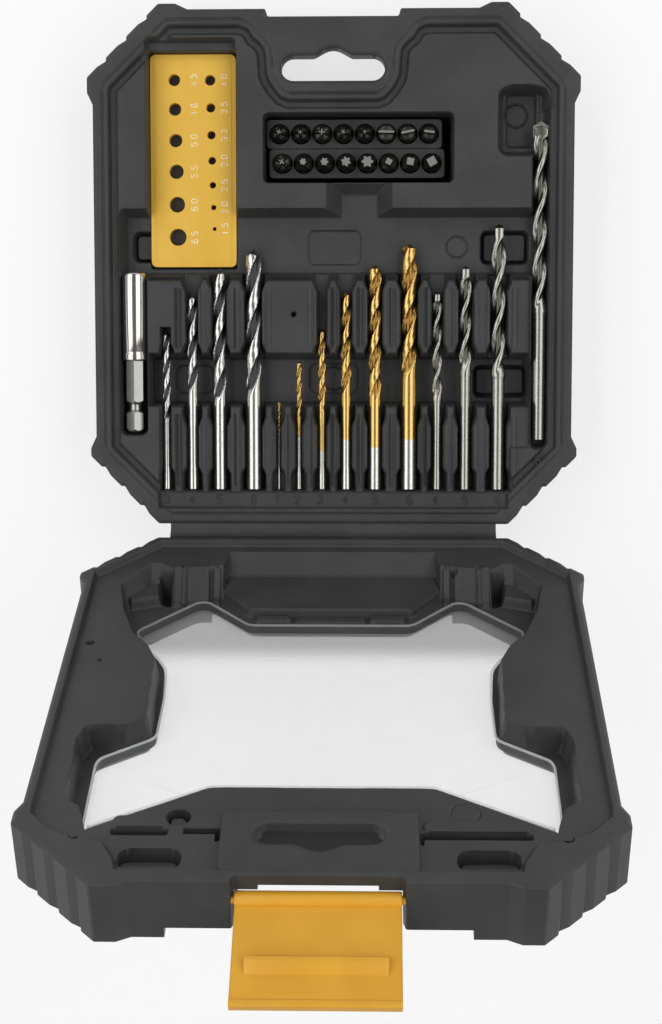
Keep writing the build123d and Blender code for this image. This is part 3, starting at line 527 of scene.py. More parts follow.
def rounded(points: Points, radius: float, steps: int = 5) -> Array:
    """Closed loop with each corner replaced by an arc: a quadratic curve between points set back along both sides.

    Args:
        points: the corners.
        radius: how far back along each side the curve starts, cut to under half the side.
        steps: points on each corner's curve.

    Returns:
        The loop, anticlockwise.
    """
    loop = np.array(points, float)
    if signed_area(loop) < 0:
        loop = loop[::-1]
    if radius <= 0:
        return loop
    before, after = np.roll(loop, 1, axis=0) - loop, np.roll(loop, -1, axis=0) - loop
    long_before, long_after = np.linalg.norm(before, axis=1), np.linalg.norm(after, axis=1)
    back = np.minimum(radius, 0.48 * np.minimum(long_before, long_after))[:, None]
    start = loop + before / long_before[:, None] * back
    end = loop + after / long_after[:, None] * back
    t = np.linspace(0, 1, steps)[None, :, None]
    curve = (1 - t) ** 2 * start[:, None] + 2 * t * (1 - t) * loop[:, None] + t ** 2 * end[:, None]
    return curve.reshape(-1, 2)


def grown(loop: Array, amount: float) -> Array:
    """Closed anticlockwise loop moved outwards by an amount, each point along the mitre of its two sides."""
    side = np.roll(loop, -1, axis=0) - loop
    normal = np.stack((side[:, 1], -side[:, 0]), axis=1) / np.linalg.norm(side, axis=1)[:, None]
    before = np.roll(normal, 1, axis=0)
    mitre = (normal + before) / (1 + (normal * before).sum(1))[:, None]
    return loop + mitre * amount


def prism(name: str, half: Half, loop: Array, low: float, high: float, sharp: float = 50.0) -> bpy.types.Object:
    """Closed prism over a loop, between two heights.

    Args:
        name: the object's name.
        half: the half of the case whose coordinates are used.
        loop: the outline in x and u.
        low: lower height.
        high: upper height.
        sharp: angle in degrees from which an edge is sharp.

    Returns:
        The object.
    """
    loop = loop if signed_area(loop) > 0 else loop[::-1]
    count = len(loop)
    points = np.vstack([half.place(loop[:, 0], loop[:, 1], height) for height in (low, high)])
    ring = np.arange(count)
    following = np.roll(ring, -1)
    faces = [np.stack((ring, following, following + count, ring + count), 1), ring[None, ::-1], ring[None] + count]
    if half.mirrored:
        faces = [block[:, ::-1] for block in faces]
    return mesh_piece(name, points, faces, sharp)


def both_sides(points: Points) -> list[tuple[float, float]]:
    """Closed loop from the points of its right half, mirrored to the left."""
    return list(points) + [(-x, u) for x, u in reversed(points) if x > 0]


def rectangle(x: tuple[float, float], u: tuple[float, float]) -> list[tuple[float, float]]:
    """Corners of a box between two values of x and two of u."""
    return [(x[0], u[0]), (x[1], u[0]), (x[1], u[1]), (x[0], u[1])]


# ---------------------------------------------------------------------------------------------- relief
def polygon_distance(points: Points, x: Array, u: Array) -> Array:
    """Distance to a closed polygon, negative inside: the least distance to its sides, signed by crossings."""
    nearest = np.full(x.shape, np.inf)
    inside = np.zeros(x.shape, bool)
    for (ax, au), (bx, bu) in zip(points, list(points[1:]) + [points[0]]):
        ex, eu = bx - ax, bu - au
        if ex == 0 and eu == 0:
            continue
        share = np.clip(((x - ax) * ex + (u - au) * eu) / (ex * ex + eu * eu), 0, 1)
        nearest = np.minimum(nearest, (x - ax - share * ex) ** 2 + (u - au - share * eu) ** 2)
        if bu != au:
            crosses = ((au > u) != (bu > u)) & (x < (bx - ax) * (u - au) / (bu - au) + ax)
            inside ^= crosses
    return np.where(inside, -1, 1) * np.sqrt(nearest)


def box_distance(x: Array, u: Array, x_range: tuple[float, float], u_range: tuple[float, float],
                 corner: float = 0.0) -> Array:
    """Distance to a rectangle with round corners, negative inside."""
    dx = np.abs(x - sum(x_range) / 2) - (x_range[1] - x_range[0]) / 2 + corner
    du = np.abs(u - sum(u_range) / 2) - (u_range[1] - u_range[0]) / 2 + corner
    return np.hypot(np.maximum(dx, 0), np.maximum(du, 0)) + np.minimum(np.maximum(dx, du), 0) - corner


def soft_min(a: Array, b: Array, width: float) -> Array:
    """The lower of two heights, rounded off where they meet."""
    near = np.maximum(width - np.abs(a - b), 0) / width
    return np.minimum(a, b) - near * near * width / 4


def soft_max(a: Array, b: Array, width: float) -> Array:
    """The higher of two heights, with a fillet where they meet."""
    return -soft_min(-a, -b, width)


def ease(value: Array, low: float, high: float) -> Array:
    """Smooth 0 to 1 as a value goes from low to high."""
    t = np.clip((value - low) / (high - low), 0, 1)
    return t * t * (3 - 2 * t)


@dataclass
class Relief:
    """A moulded face as heights over a grid: pockets and islands with sloping walls and soft edges."""

    x: Array
    u: Array
    height: Array

    @classmethod
    def over(cls, x_range: tuple[float, float], u_range: tuple[float, float], step: float) -> "Relief":
        """Flat relief over a rectangle.

        Args:
            x_range: lowest and highest x.
            u_range: lowest and highest u.
            step: distance between grid lines, about.

        Returns:
            The relief at height 0.
        """
        xs = np.linspace(*x_range, int(round((x_range[1] - x_range[0]) / step)) + 1)
        us = np.linspace(*u_range, int(round((u_range[1] - u_range[0]) / step)) + 1)
        x, u = np.meshgrid(xs, us)
        return cls(x, u, np.zeros_like(x))

    def box(self, x_range: tuple[float, float], u_range: tuple[float, float], corner: float = 1.5) -> Array:
        """Distance to a rectangle."""
        return box_distance(self.x, self.u, x_range, u_range, corner)

    def loop(self, points: Points) -> Array:
        """Distance to a polygon."""
        return polygon_distance(points, self.x, self.u)

    def carve(self, distance: Array, floor: Union[float, Array], top: float, slope: float = 5.0,
              soft: float = 0.8) -> None:
        """Sink a pocket: its wall falls from the top level at the outline by slope times the distance inwards.

        Args:
            distance: distance to the pocket's outline, negative inside.
            floor: height of its floor, one or everywhere.
            top: height that its wall starts from.
            slope: steepness of the wall.
            soft: width of the rounding at the top edge and at the floor.
        """
        wall = soft_max(0 * distance + floor, top + slope * distance, soft * slope / 2)
        self.height = soft_min(self.height, wall, soft * slope / 4)

    def lift(self, distance: Array, top: float, slope: float = 5.0, soft: float = 0.8) -> None:
        """Raise an island: flat at the top level inside the outline, and falling by slope times the distance outside."""
        wall = soft_min(np.full_like(distance, top), top - slope * distance, soft * slope / 3)
        self.height = soft_max(self.height, wall, soft * slope / 3)

    def level(self, distance: Array, height: float, run: float = 0.7) -> None:
        """Set an area to one height, easing over a run outside its outline."""
        share = 1 - ease(distance, -run / 2, run / 2)
        self.height = self.height * (1 - share) + height * share

    def groove(self, distance: Array, width: float, depth: float) -> None:
        """Press a line along an outline: a cosine hollow of a width and depth."""
        share = np.clip(np.abs(distance) / (width / 2), 0, 1)
        self.height = self.height - depth * (1 + np.cos(math.pi * share)) / 2

    def solid(self, name: str, half: Half, u_range: tuple[float, float], floor: float) -> bpy.types.Object:
        """Closed block from a flat floor up to the part of the relief between two values of u.

        Args:
            name: the object's name.
            half: the half of the case it belongs to.
            u_range: lowest and highest u.
            floor: height of the floor.

        Returns:
            The object.
        """
        rows = (self.u[:, 0] >= u_range[0] - 1e-6) & (self.u[:, 0] <= u_range[1] + 1e-6)
        x, u, height = self.x[rows], self.u[rows], self.height[rows]
        count_u, count_x = x.shape
        number = np.arange(count_u * count_x).reshape(count_u, count_x)
        rim = np.concatenate((number[0, :-1], number[:-1, -1], number[-1, :0:-1], number[:0:-1, 0]))
        points = half.place(x, u, height)
        base = half.place(x.ravel()[rim], u.ravel()[rim], floor)
        foot = np.arange(len(rim)) + len(points)
        next_rim, next_foot = np.roll(rim, -1), np.roll(foot, -1)
        faces = [grid_faces(count_u, count_x), np.stack((foot, next_foot, next_rim, rim), 1), foot[None, ::-1]]
        if half.mirrored:
            faces = [block[:, ::-1] for block in faces]
        return mesh_piece(name, np.vstack((points, base)), faces)


# ---------------------------------------------------------------------------------------------- outlines
def bumper_edge(start: tuple[float, float], end: tuple[float, float]) -> list[tuple[float, float]]:
    """Corner edge of the case: flat lands, each ended by a sharp step in and a ramp back out."""
    run = (end[0] - start[0], end[1] - start[1])
    length = math.hypot(*run)
    along = (run[0] / length, run[1] / length)
    inward = (along[1], -along[0])
    pitch = length / 3.5
    points = [start]
    for notch in range(3):
        step = pitch * (notch + 0.57)
        for distance, sunk in ((step, 0.0), (step + 0.6, 1.0), (step + 4.6, 0.0)):
            points.append((start[0] + along[0] * distance + inward[0] * sunk,
                           start[1] + along[1] * distance + inward[1] * sunk))
    return points + [end]


def case_outline() -> list[tuple[float, float]]:
    """Outer edge of both halves: straight sides, toothed corner bumpers and the latch bay in front."""
    side, front = HALF_WIDTH + 2.1, FRONT_EDGE + 2.1
    front_corner, side_corner = (side - 27.0, front), (side, front - 27.0)
    rear_side, rear_corner = (side, REAR_EDGE + 25.8), (side - 25.8, REAR_EDGE)
    return both_sides([
        (0, FRONT_EDGE - 2.8), (BAY_HALF, FRONT_EDGE - 2.8), (BAY_HALF + 0.8, FRONT_EDGE),
        (front_corner[0] - 10.9, FRONT_EDGE), (front_corner[0] - 6.4, front),
        *bumper_edge(front_corner, side_corner),
        (side, side_corner[1] - 5.6), (HALF_WIDTH, side_corner[1] - 10.1),
        (HALF_WIDTH, rear_side[1] + 7.5), (side, rear_side[1] + 3.0),
        *bumper_edge(rear_side, rear_corner), (0, REAR_EDGE),
    ])


def groove_line() -> list[tuple[float, float]]:
    """Middle of the groove inside the tray's rim, with its dip round the hang slot."""
    side, front, rear = HALF_WIDTH - 7.65, FRONT_EDGE - 7.65, REAR_EDGE + 7.65
    return both_sides([
        (0, 160.8), (17.0, 160.8), (20.5, 162.2), (23.0, 165.0), (25.3, 168.4), (26.5, 171.5), (26.8, 177.0),
        (27.3, 180.5), (29.0, 182.6), (31.0, 184.0), (33.0, 187.2), (35.5, front),
        (side - 21.7, front), (side, front - 21.7), (side, rear + 22.2), (side - 22.2, rear), (0, rear),
    ])


def slot_loop(grow: float = 0.0) -> Array:
    """Outline of the hang slot: two half circles joined by straights, with a shallow arc for its hump."""
    right = np.linspace(-math.pi / 2, math.pi / 2, 15)
    left = right + math.pi
    hump = np.linspace(1, -1, 17)
    loop = np.vstack((
        np.stack((14.85 + 4.65 * np.cos(right), 174.0 + 4.65 * np.sin(right)), 1),
        np.stack((7.4 * hump, 178.65 + 3.0 * np.cos(hump * math.pi / 2) ** 1.3), 1),
        np.stack((-14.85 + 4.65 * np.cos(left), 174.0 + 4.65 * np.sin(left)), 1)))
    return grown(loop, grow)


@dataclass(frozen=True)
class DrillSize:
    """One drill: its node, kind, diameter, length, flute length, rear end along u, place across the case, and fluting.

    flat_up says that the flattened head of a masonry drill lies with its wide side up.
    """

    node: str
    kind: str
    size: float
    length: float
    flute: float
    end: float
    x: float
    pitch: float
    turn: float = 0.0
    flat_up: bool = False

    @property
    def tip(self) -> float:
        """Where its point is along u."""
        return self.end + self.length


DRILLS = (
    DrillSize("wood_drill_3mm", "wood", 3.0, 60.6, 34.4, 15.8, -63.8, 19.0),
    DrillSize("wood_drill_4mm", "wood", 4.0, 75.0, 38.0, 15.8, -53.8, 24.5, 0.6),
    DrillSize("wood_drill_5mm", "wood", 5.0, 84.7, 51.6, 15.8, -43.4, 32.0, 1.2),
    DrillSize("wood_drill_6mm", "wood", 6.0, 92.4, 57.0, 15.8, -30.4, 38.0, 0.3),
    DrillSize("metal_drill_1mm", "metal", 1.0, 33.6, 11.5, 15.8, -20.8, 6.0),
    DrillSize("metal_drill_2mm", "metal", 2.0, 48.8, 21.5, 15.8, -13.1, 12.0, 0.4),
    DrillSize("metal_drill_3mm", "metal", 3.0, 61.0, 31.0, 15.8, -4.3, 17.5, 0.8),
    DrillSize("metal_drill_4mm", "metal", 4.0, 75.2, 39.5, 15.8, 4.9, 23.0, 1.1),
    DrillSize("metal_drill_5mm", "metal", 5.0, 85.4, 51.0, 15.8, 15.9, 27.0, 0.2),
    DrillSize("metal_drill_6mm", "metal", 6.0, 93.4, 51.0, 15.8, 28.9, 32.0, 0.9),
    DrillSize("masonry_drill_4mm", "masonry", 4.0, 75.4, 41.0, 15.8, 39.6, 21.0),
    DrillSize("masonry_drill_5mm", "masonry", 5.0, 85.2, 41.0, 15.8, 50.3, 26.0, 0.5),
    DrillSize("masonry_drill_6mm", "masonry", 6.0, 100.8, 57.5, 15.8, 62.8, 31.0, 1.0),
    DrillSize("masonry_drill_6mm_long", "masonry", 6.0, 119.8, 71.5, 34.9, 78.2, 31.0, 0.2, flat_up=True),
)
GOLD_ENDS = {"metal_drill_1mm": 39.0, "metal_drill_2mm": 36.0, "metal_drill_3mm": 30.5, "metal_drill_4mm": 35.0,
             "metal_drill_5mm": 32.0, "metal_drill_6mm": 35.0}


# ---------------------------------------------------------------------------------------------- tray
@dataclass
class Tray:
    """The tray: rim, number band, two rows of islands, pockets and the hang slot."""

    body: str = "tray"
    step: float = 0.4
    split: float = 66.0
    lower_row: tuple[float, float] = (15.3, 47.6)
    upper_row: tuple[float, float] = (68.0, 95.2)
    plateau: float = -1.2
    row_top: float = -2.5
    tip_floor: float = -9.5
    bay_floor: float = -12.0
    left: float = -66.4
    right: float = 67.6

    def rim(self, relief: Relief) -> None:
        """Land, crease, rounded bead, groove and inner floor, each at its distance from the groove's middle."""
        across = relief.loop(groove_line())
        run = (-1.9, -1.4, -1.15, -0.8, 0.7, 1.1, 1.5, 2.0, 2.7, 3.3, 3.75, 4.05, 4.35, 4.9)
        drop = (self.plateau, -1.6, -2.9, -3.2, -3.2, -2.9, -1.3, -0.5, -0.2, -0.35, -0.75, -0.9, -0.45, 0.0)
        relief.height = np.interp(across, run, drop)
        edge = relief.loop(case_outline())
        relief.height = soft_min(relief.height, -RIM_GAP + 0 * edge, 0.3)
        relief.height = soft_min(relief.height, -(edge + 1.1) * 0.9, 0.7)

    def slot_of(self, drill: DrillSize, row: tuple[float, float], flare: tuple[float, ...]) -> Optional[Points]:
        """Plan of a drill's slot through a row, wider at both ends, or None where it doesn't reach."""
        low, high = row
        if drill.end > high or drill.tip < low:
            return None
        half = drill.size / 2 + 0.55
        wide = half + 1.4
        left, right = max(drill.x - wide, self.left), min(drill.x + wide, self.right)
        rear_run, rear_taper, front_run, front_taper = flare
        start = low if drill.end > low else low - 3.4
        rear = [(left, start), (right, start), (right, low + rear_run), (drill.x + half, low + rear_run + rear_taper)]
        back = [(drill.x - half, low + rear_run + rear_taper), (left, low + rear_run)]
        if drill.node == "wood_drill_3mm":
            return rear + [(drill.x + half, drill.tip + 1.5), (drill.x - half, drill.tip + 1.5)] + back
        return rear + [(drill.x + half, high - front_run - front_taper), (right, high - front_run), (right, high + 3.4),
                       (left, high + 3.4), (left, high - front_run), (drill.x - half,
                                           high - front_run - front_taper)] + back

    def rows(self, relief: Relief) -> None:
        """Bay, the two rows of islands with fine ribs along them, and a slot for each drill."""
        bay = np.minimum(relief.box((self.left, self.right), (15.3, 97.0), 1.0),
                         np.minimum(relief.box((self.right - 4, 74.3), (32.0, 97.0), 1.0),
                                    relief.box((-70.6, self.left + 4), (self.lower_row[1], 97.0), 1.0)))
        relief.carve(bay, self.bay_floor, self.plateau, 7.0, 0.7)
        low_side = relief.box((self.left - 2, 74.3), (10.0, self.lower_row[1]), 0.5)
        high_side = relief.box((-70.6, 74.3), self.upper_row, 0.5)
        relief.lift(np.maximum(low_side, bay - 0.4), self.row_top, 6.0, 0.8)
        relief.lift(np.maximum(high_side, bay - 0.4), self.row_top, 4.0, 0.8)
        for row, flare in ((self.lower_row, (6.5, 2.8, 3.8, 4.0)), (self.upper_row, (0.6, 3.2, 0.6, 3.2))):
            for drill in DRILLS[:-1]:
                plan = self.slot_of(drill, row, flare)
                if plan:
                    floor = -DRILL_LEVEL - drill.size / 2 - 0.25
                    relief.carve(relief.loop(plan), floor, self.row_top, 7.0, 0.6)
            share = (1 - ease(relief.box((self.left, 74.3), (row[0] + 1.0, row[1] - 1.5), 0.5), -1.5, 0.0))
            share = share * ease(relief.height, self.row_top - 0.5, self.row_top - 0.1)
            for drill in DRILLS[:-1]:
                if drill.tip > row[0]:
                    away = np.abs(relief.x - drill.x) - drill.size / 2
                    ribs = sum(1 - ease(np.abs(away - place), 0.12, 0.42) for place in (1.85, 2.75, 3.75))
                    relief.height = relief.height + 0.3 * share * ribs

    def pockets(self, relief: Relief) -> None:
        """Floors under the drill tips, and the pockets of the gauge, bits, holder and long drill, with their marks."""
        side = HALF_WIDTH - 9.1
        relief.carve(relief.box((-side, side), (95.5, 122.3), 2.5), self.tip_floor, self.plateau, 2.9, 1.0)
        relief.carve(relief.box((-2.7, 22.5), (112.0, 134.0), 2.5), self.tip_floor, self.plateau, 1.35, 1.6)
        long_drill = DRILLS[-1]
        bottom = -DRILL_LEVEL - long_drill.size / 2 - 0.25
        relief.carve(relief.box((long_drill.x - 3.55, long_drill.x + 3.55), (31.5, 160.0), 2.5), bottom, self.plateau,
                     6.0)
        relief.carve(relief.box((61.8, 81.0), (141.4, 167.2), 4.0), bottom, self.plateau, 4.0, 1.2)
        relief.carve(relief.box((65.2, 76.8), (145.2, 165.8), 2.5), -12.0, bottom, 4.0)
        relief.carve(relief.box((-81.3, -70.5), (36.5, 98.6), 3.0), -DRILL_LEVEL - 5.2, self.plateau, 7.0)
        relief.carve(relief.box((-70.9, -36.1), (176.0, 185.9), 2.0), -5.0, 0.0, 3.0, 0.6)
        relief.carve(relief.box((-70.4, -36.2), (99.3, 181.5), 1.5), -13.25, self.plateau, 12.0, 0.5)
        relief.carve(relief.box((-76.5, -66.0), (102.5, 114.0), 2.5), -12.0, self.tip_floor, 4.0)
        relief.carve(relief.box((-26.2, 45.2), (131.8, 157.6), 2.0), -26.2, self.plateau, 14.0)
        relief.carve(relief.box((-60.9, -46.3), (52.3, 63.4), 3.0), -13.0, self.bay_floor, 2.5)
        relief.carve(relief.box((-9.5, 9.4), (52.3, 64.2), 3.0), -13.0, self.bay_floor, 2.5)
        relief.carve(relief.box((53.6, 74.2), (51.1, 63.2), 2.5), -14.4, self.bay_floor, 3.0)
        relief.carve(relief.box((-9.7, 10.5), (101.4, 114.7), 2.5), -10.5, self.tip_floor, 2.5)
        relief.carve(relief.box((56.1, 74.2), (101.7, 114.2), 2.5), -11.9, self.tip_floor, 3.0)
        for cx, cu, radius in ((69.2, 157.6, 4.4), (47.0, 108.2, 4.0), (0.0, 58.3, 4.6)):
            relief.groove(np.hypot(relief.x - cx, relief.u - cu) - radius, 1.1, 0.7)
        for span, reach in (((53.6, 74.2), (51.1, 63.2)), ((56.1, 74.2), (101.7, 114.2)), ((-76.5, -66.0), (102.5,
                            114.0))):
            relief.groove(relief.box(span, reach, 2.5) + 0.6, 1.9, 2.6)
        relief.carve(np.hypot(relief.x + 15.0, relief.u - 82.6) - 1.1, -6.0, self.row_top, 6.0, 0.3)

    def relief(self) -> Relief:
        """The tray's whole moulded face."""
        relief = Relief.over((-93.2, 93.2), (1.2, 199.2), self.step)
        self.rim(relief)
        band = relief.box((self.left, -self.left), (9.2, 16.5), 0.2)
        relief.level(band, self.row_top, 0.8)
        self.rows(relief)
        self.pockets(relief)
        hole = polygon_distance([tuple(point) for point in slot_loop()], relief.x, relief.u)
        relief.height = soft_min(relief.height, -RIM_GAP - 1.1 + hole, 0.9)
        return relief

    def stock(self) -> bpy.types.Object:
        """Outer form of the tray: its outline, with soft lower edges, the finger space under the slot and the slot."""
        block = prism("tray_stock", TRAY, np.array(case_outline()), -TRAY_DEPTH, 4.0)
        soften(block, 0.9)
        combine(block, prism("bay", TRAY, rounded(rectangle((-BAY_HALF, BAY_HALF), (BAY_REACH, 215.0)), 3.0), -60.0,
                            -9.5),
                "DIFFERENCE")
        return combine(block, prism("slot", TRAY, slot_loop(), -60.0, 30.0), "DIFFERENCE")

    def build(self) -> list[bpy.types.Object]:
        """The tray in two pieces that meet along the middle channel."""
        relief = self.relief()
        middle = relief.u[np.argmin(np.abs(relief.u[:, 0] - self.split)), 0]
        pieces = []
        for name, span in (("tray_rear", (0.0, middle)), ("tray_front", (middle, 210.0))):
            piece = relief.solid(name, TRAY, span, -TRAY_DEPTH - 3.0)
            combine(piece, self.stock(), "INTERSECT")
            pieces.append(piece)
        return pieces


def soften(piece: bpy.types.Object, width: float, segments: int = 3) -> bpy.types.Object:
    """Round every sharp edge of a mesh with a Bevel modifier, and bake it."""
    bevel = piece.modifiers.new("edges", "BEVEL")
    bevel.width, bevel.segments, bevel.limit_method, bevel.angle_limit = width * MM, segments, "ANGLE", math.radians(28)
    return apply_modifiers(piece)


# ---------------------------------------------------------------------------------------------- lid
@dataclass
class Lid:
    """The lid: its double-skinned frame with a stepped well, and the clear window set in from outside."""

    body: str = "lid"
    step: float = 0.4
    well: float = -12.0
    ledge: float = -2.5
    pane: float = -15.6
    trough: float = -9.2
    slit: float = -10.0
    rear_slope: float = 1.08
    trough_line: tuple[tuple[float, float], ...] = ((0, 17.0), (38.4, 17.0), (40.2, 27.5), (29.6, 40.8), (0, 40.8))
    posts: tuple[tuple[float, float, float], ...] = (
        (56.9, 2.8, 1.0), (49.6, 7.4, 0.4), (42.5, 2.6, 1.3), (44.7, 1.0, -1.4), (53.8, 0.9, -0.7))
    holes: tuple[tuple[float, float, float], ...] = (
        (45.5, 22.7, 1.3), (-82.8, 72.1, 1.4), (-78.1, 82.8, 0.8), (-72.3, 176.4, 1.5), (72.8, 176.8, 1.5))
    bars: tuple[tuple[tuple[float, float], tuple[float, float], float], ...] = (
        ((-62.2, -45.6), (165.4, 170.8), 2.4), ((30.8, 63.0), (167.0, 172.3), 2.6))
    slits: tuple[tuple[tuple[float, float], tuple[float, float]], ...] = (
        ((-62.4, -45.2), (170.7, 173.6)), ((-40.8, -29.8), (170.4, 173.0)), ((30.4, 63.0), (172.2, 175.0)),
        ((-30.9, -29.8), (172.0, 176.4)), ((29.8, 30.8), (172.4, 177.4)))
    disc: tuple[float, float, float] = (-42.7, 165.6, 3.6)
    ring: tuple[float, float, float] = (43.6, 162.4, 4.5)
    grip: tuple[tuple[float, float], tuple[float, float]] = ((40.3, 58.8), (179.8, 188.8))
    rim_line: tuple[tuple[float, float], ...] = (
        (0, 191.5), (58.8, 191.5), (59.9, 186.5), (63.7, 179.4), (72.3, 177.0), (79.5, 174.2), (87.0, 166.5),
        (87.5, 163.0), (87.2, 28.7), (64.4, 6.1), (0, 6.1))
    well_line: tuple[tuple[float, float], ...] = (
        (0, 11.0), (38.7, 11.0), (40.4, 20.4), (46.1, 21.8), (58.7, 23.6), (64.1, 19.1), (67.3, 19.1), (76.9, 32.8),
        (73.9, 50.0), (68.4, 65.5), (62.6, 73.0), (59.1, 81.5), (59.0, 91.0), (58.2, 113.6), (60.6, 118.9), (77.2,
                            119.6),
        (79.4, 126.0), (78.5, 156.4), (72.6, 160.8), (70.6, 171.4), (34.5, 151.0), (0, 151.0))
    opening_line: tuple[tuple[float, float], ...] = (
        (0, 46.5), (29.4, 46.5), (45.0, 31.3), (49.3, 31.3), (70.2, 51.0), (67.0, 61.0), (60.3, 68.9), (57.0,
                            75.5), (55.9, 92.0), (56.2, 114.0),
        (73.0, 125.0), (74.2, 128.0), (73.9, 160.0), (70.2, 170.6), (34.5, 151.3), (30.2, 151.3), (29.0, 149.4),
        (14.8, 149.4), (13.6, 151.3), (0, 151.3))

    def opening(self, grow: float = 0.0) -> Array:
        """Outline of the window opening, with round corners."""
        return grown(rounded(both_sides(self.opening_line), 2.6, 6), grow)

    def relief(self) -> Relief:
        """The lid's inner face, with height counted back from the rims, so that its well is at a negative height."""
        relief = Relief.over((-93.2, 93.2), (1.2, 199.2), self.step)
        edge = relief.loop(case_outline())
        relief.height = soft_min(-RIM_GAP + 0 * edge, -(edge + 1.1) * 0.9, 0.7)
        relief.carve(relief.loop(both_sides(self.rim_line)), self.ledge, 0.0, 3.0, 0.6)
        self.rear(relief)
        self.front(relief)
        for cx, cu, radius in self.holes:
            relief.carve(np.hypot(relief.x - cx, relief.u - cu) - radius, -7.0, self.ledge, 8.0, 0.3)
        hole = polygon_distance([tuple(point) for point in slot_loop()], relief.x, relief.u)
        relief.height = soft_min(relief.height, -1.4 + hole, 0.9)
        return relief

    def rear(self, relief: Relief) -> None:
        """The well, whose rear wall slopes down from its crest, with the posts, blocks and trough along that wall.

        The slope is the ledge's height less the rear slope times the distance from the crest, and the crest's own
        place is read from the well's outline at each x.
        """
        across = np.abs(relief.x)
        crest = np.interp(across, *zip(*self.well_line[:8]))
        slope = np.where(relief.u < 60, self.ledge - self.rear_slope * (relief.u - crest), self.well)
        floor = soft_max(0 * slope + self.well, slope, 0.6)
        relief.carve(relief.loop(both_sides(self.well_line)), floor, self.ledge, 8.0, 0.5)
        near = 1 - ease(np.abs(relief.u - 28.0), 5.0, 7.5)
        for place, width, rise in self.posts:
            share = 1 - ease(np.abs(across - place), width / 2 - 0.3, width / 2 + 0.3)
            relief.height = relief.height + rise * near * share
        bed = relief.loop(both_sides(self.trough_line))
        relief.lift(bed, self.trough, 6.0, 0.5)
        relief.lift(relief.box((-29.0, 29.0), (39.3, 41.0), 0.6), self.trough + 0.8, 4.0, 0.5)
        relief.lift(relief.box((-12.6, 12.6), (42.8, 46.0), 0.6), -11.0, 4.0, 0.4)
        for sign in (-1, 1):
            pad = tuple(sorted((sign * 14.5, sign * 26.8)))
            relief.lift(relief.box(pad, (42.6, 46.0), 1.2), -10.3, 4.0, 0.6)
            block = [(sign * 64.4, 24.6), (sign * 75.8, 29.4), (sign * 73.4, 36.6), (sign * 63.6, 33.4)]
            relief.lift(relief.loop(block), -7.8, 6.0, 0.6)
            gap = [(sign * 58.6, 24.0), (sign * 64.6, 21.4), (sign * 64.2, 32.4), (sign * 61.5, 35.4),
                   (sign * 58.0, 35.6)]
            relief.carve(relief.loop(gap), -16.0, self.ledge, 9.0, 0.4)

    def front(self, relief: Relief) -> None:
        """The front ledge: panel round the hang slot, bars with deep slots before them, ring, disc and two grips."""
        relief.lift(relief.box((-29.3, 29.3), (164.4, 191.0), 1.5), -0.6, 5.0, 0.5)
        for span, reach, corner in self.bars:
            relief.lift(relief.box(span, reach, corner), self.ledge + 0.7, 4.0, 0.4)
        cx, cu, radius = self.disc
        disc = np.hypot(relief.x - cx, relief.u - cu) - radius
        relief.carve(disc, self.ledge - 1.2, self.ledge, 6.0, 0.3)
        crescent = np.maximum(disc, radius - 1.2 - np.hypot(relief.x - cx, relief.u - cu - 1.3))
        relief.carve(crescent, self.slit, self.ledge, 14.0, 0.2)
        cx, cu, radius = self.ring
        relief.groove(np.hypot(relief.x - cx, relief.u - cu) - radius, 1.0, 0.45)
        for span, reach in self.slits:
            relief.carve(relief.box(span, reach, 0.6), self.slit, self.ledge, 14.0, 0.2)
        near, far = self.grip[0]
        ramp = np.clip(self.ledge - (188.0 - relief.u) * 0.55, -8.0, self.ledge)
        for sign in (-1, 1):
            span = tuple(sorted((sign * near, sign * far)))
            grip = relief.box(span, self.grip[1], 3.8)
            relief.carve(grip, ramp, self.ledge, 7.0, 0.6)
            front_part = relief.box((span[0] + 1.4, span[1] - 1.4), (182.4, 192.0), 3.0)
            relief.carve(np.maximum(grip, 0.2 - front_part), np.minimum(ramp - 1.0, self.slit), self.ledge, 12.0, 0.3)

    def stock(self) -> bpy.types.Object:
        """Outer form of the lid: thicker corners, latch bay, window seat, opening and hang slot."""
        block = prism("lid_stock", LID, np.array(case_outline()), -LID_DEPTH - LID_PAD, 4.0)
        soften(block, 0.9)
        floor = -LID_DEPTH
        cross = [(-45.0, -20.0), (45.0, -20.0), (45.0, 44.0), (110.0, 44.0), (110.0, 156.9), (45.0, 156.9),
                 (45.0, 220.0), (-45.0, 220.0), (-45.0, 156.9), (-110.0, 156.9), (-110.0, 44.0), (-45.0, 44.0)]
        combine(block, prism("outer", LID, rounded(cross, 4.0), -60.0, floor), "DIFFERENCE")
        combine(block, prism("bay", LID, rounded(rectangle((-BAY_HALF, BAY_HALF), (BAY_REACH, 215.0)), 3.0), -60.0,
                            -6.1),
                "DIFFERENCE")
        combine(block, prism("bar", LID, rounded(rectangle((-17.4, 17.4), (BAY_REACH + 1, 215.0)), 2.0), -60.0, -4.4),
                "DIFFERENCE")
        combine(block, prism("seat", LID, self.opening(2.35), -60.0, self.pane), "DIFFERENCE")
        combine(block, prism("way", LID, self.opening(), -60.0, 30.0), "DIFFERENCE")
        return combine(block, prism("slot", LID, slot_loop(), -60.0, 30.0), "DIFFERENCE")

    def build(self) -> list[bpy.types.Object]:
        """The frame in two pieces that meet across its middle."""
        relief = self.relief()
        middle = relief.u[np.argmin(np.abs(relief.u[:, 0] - 96.0)), 0]
        pieces = []
        for name, span in (("lid_rear", (0.0, middle)), ("lid_front", (middle, 210.0))):
            piece = relief.solid(name, LID, span, -LID_DEPTH - LID_PAD - 3.0)
            combine(piece, self.stock(), "INTERSECT")
            pieces.append(piece)
        return pieces

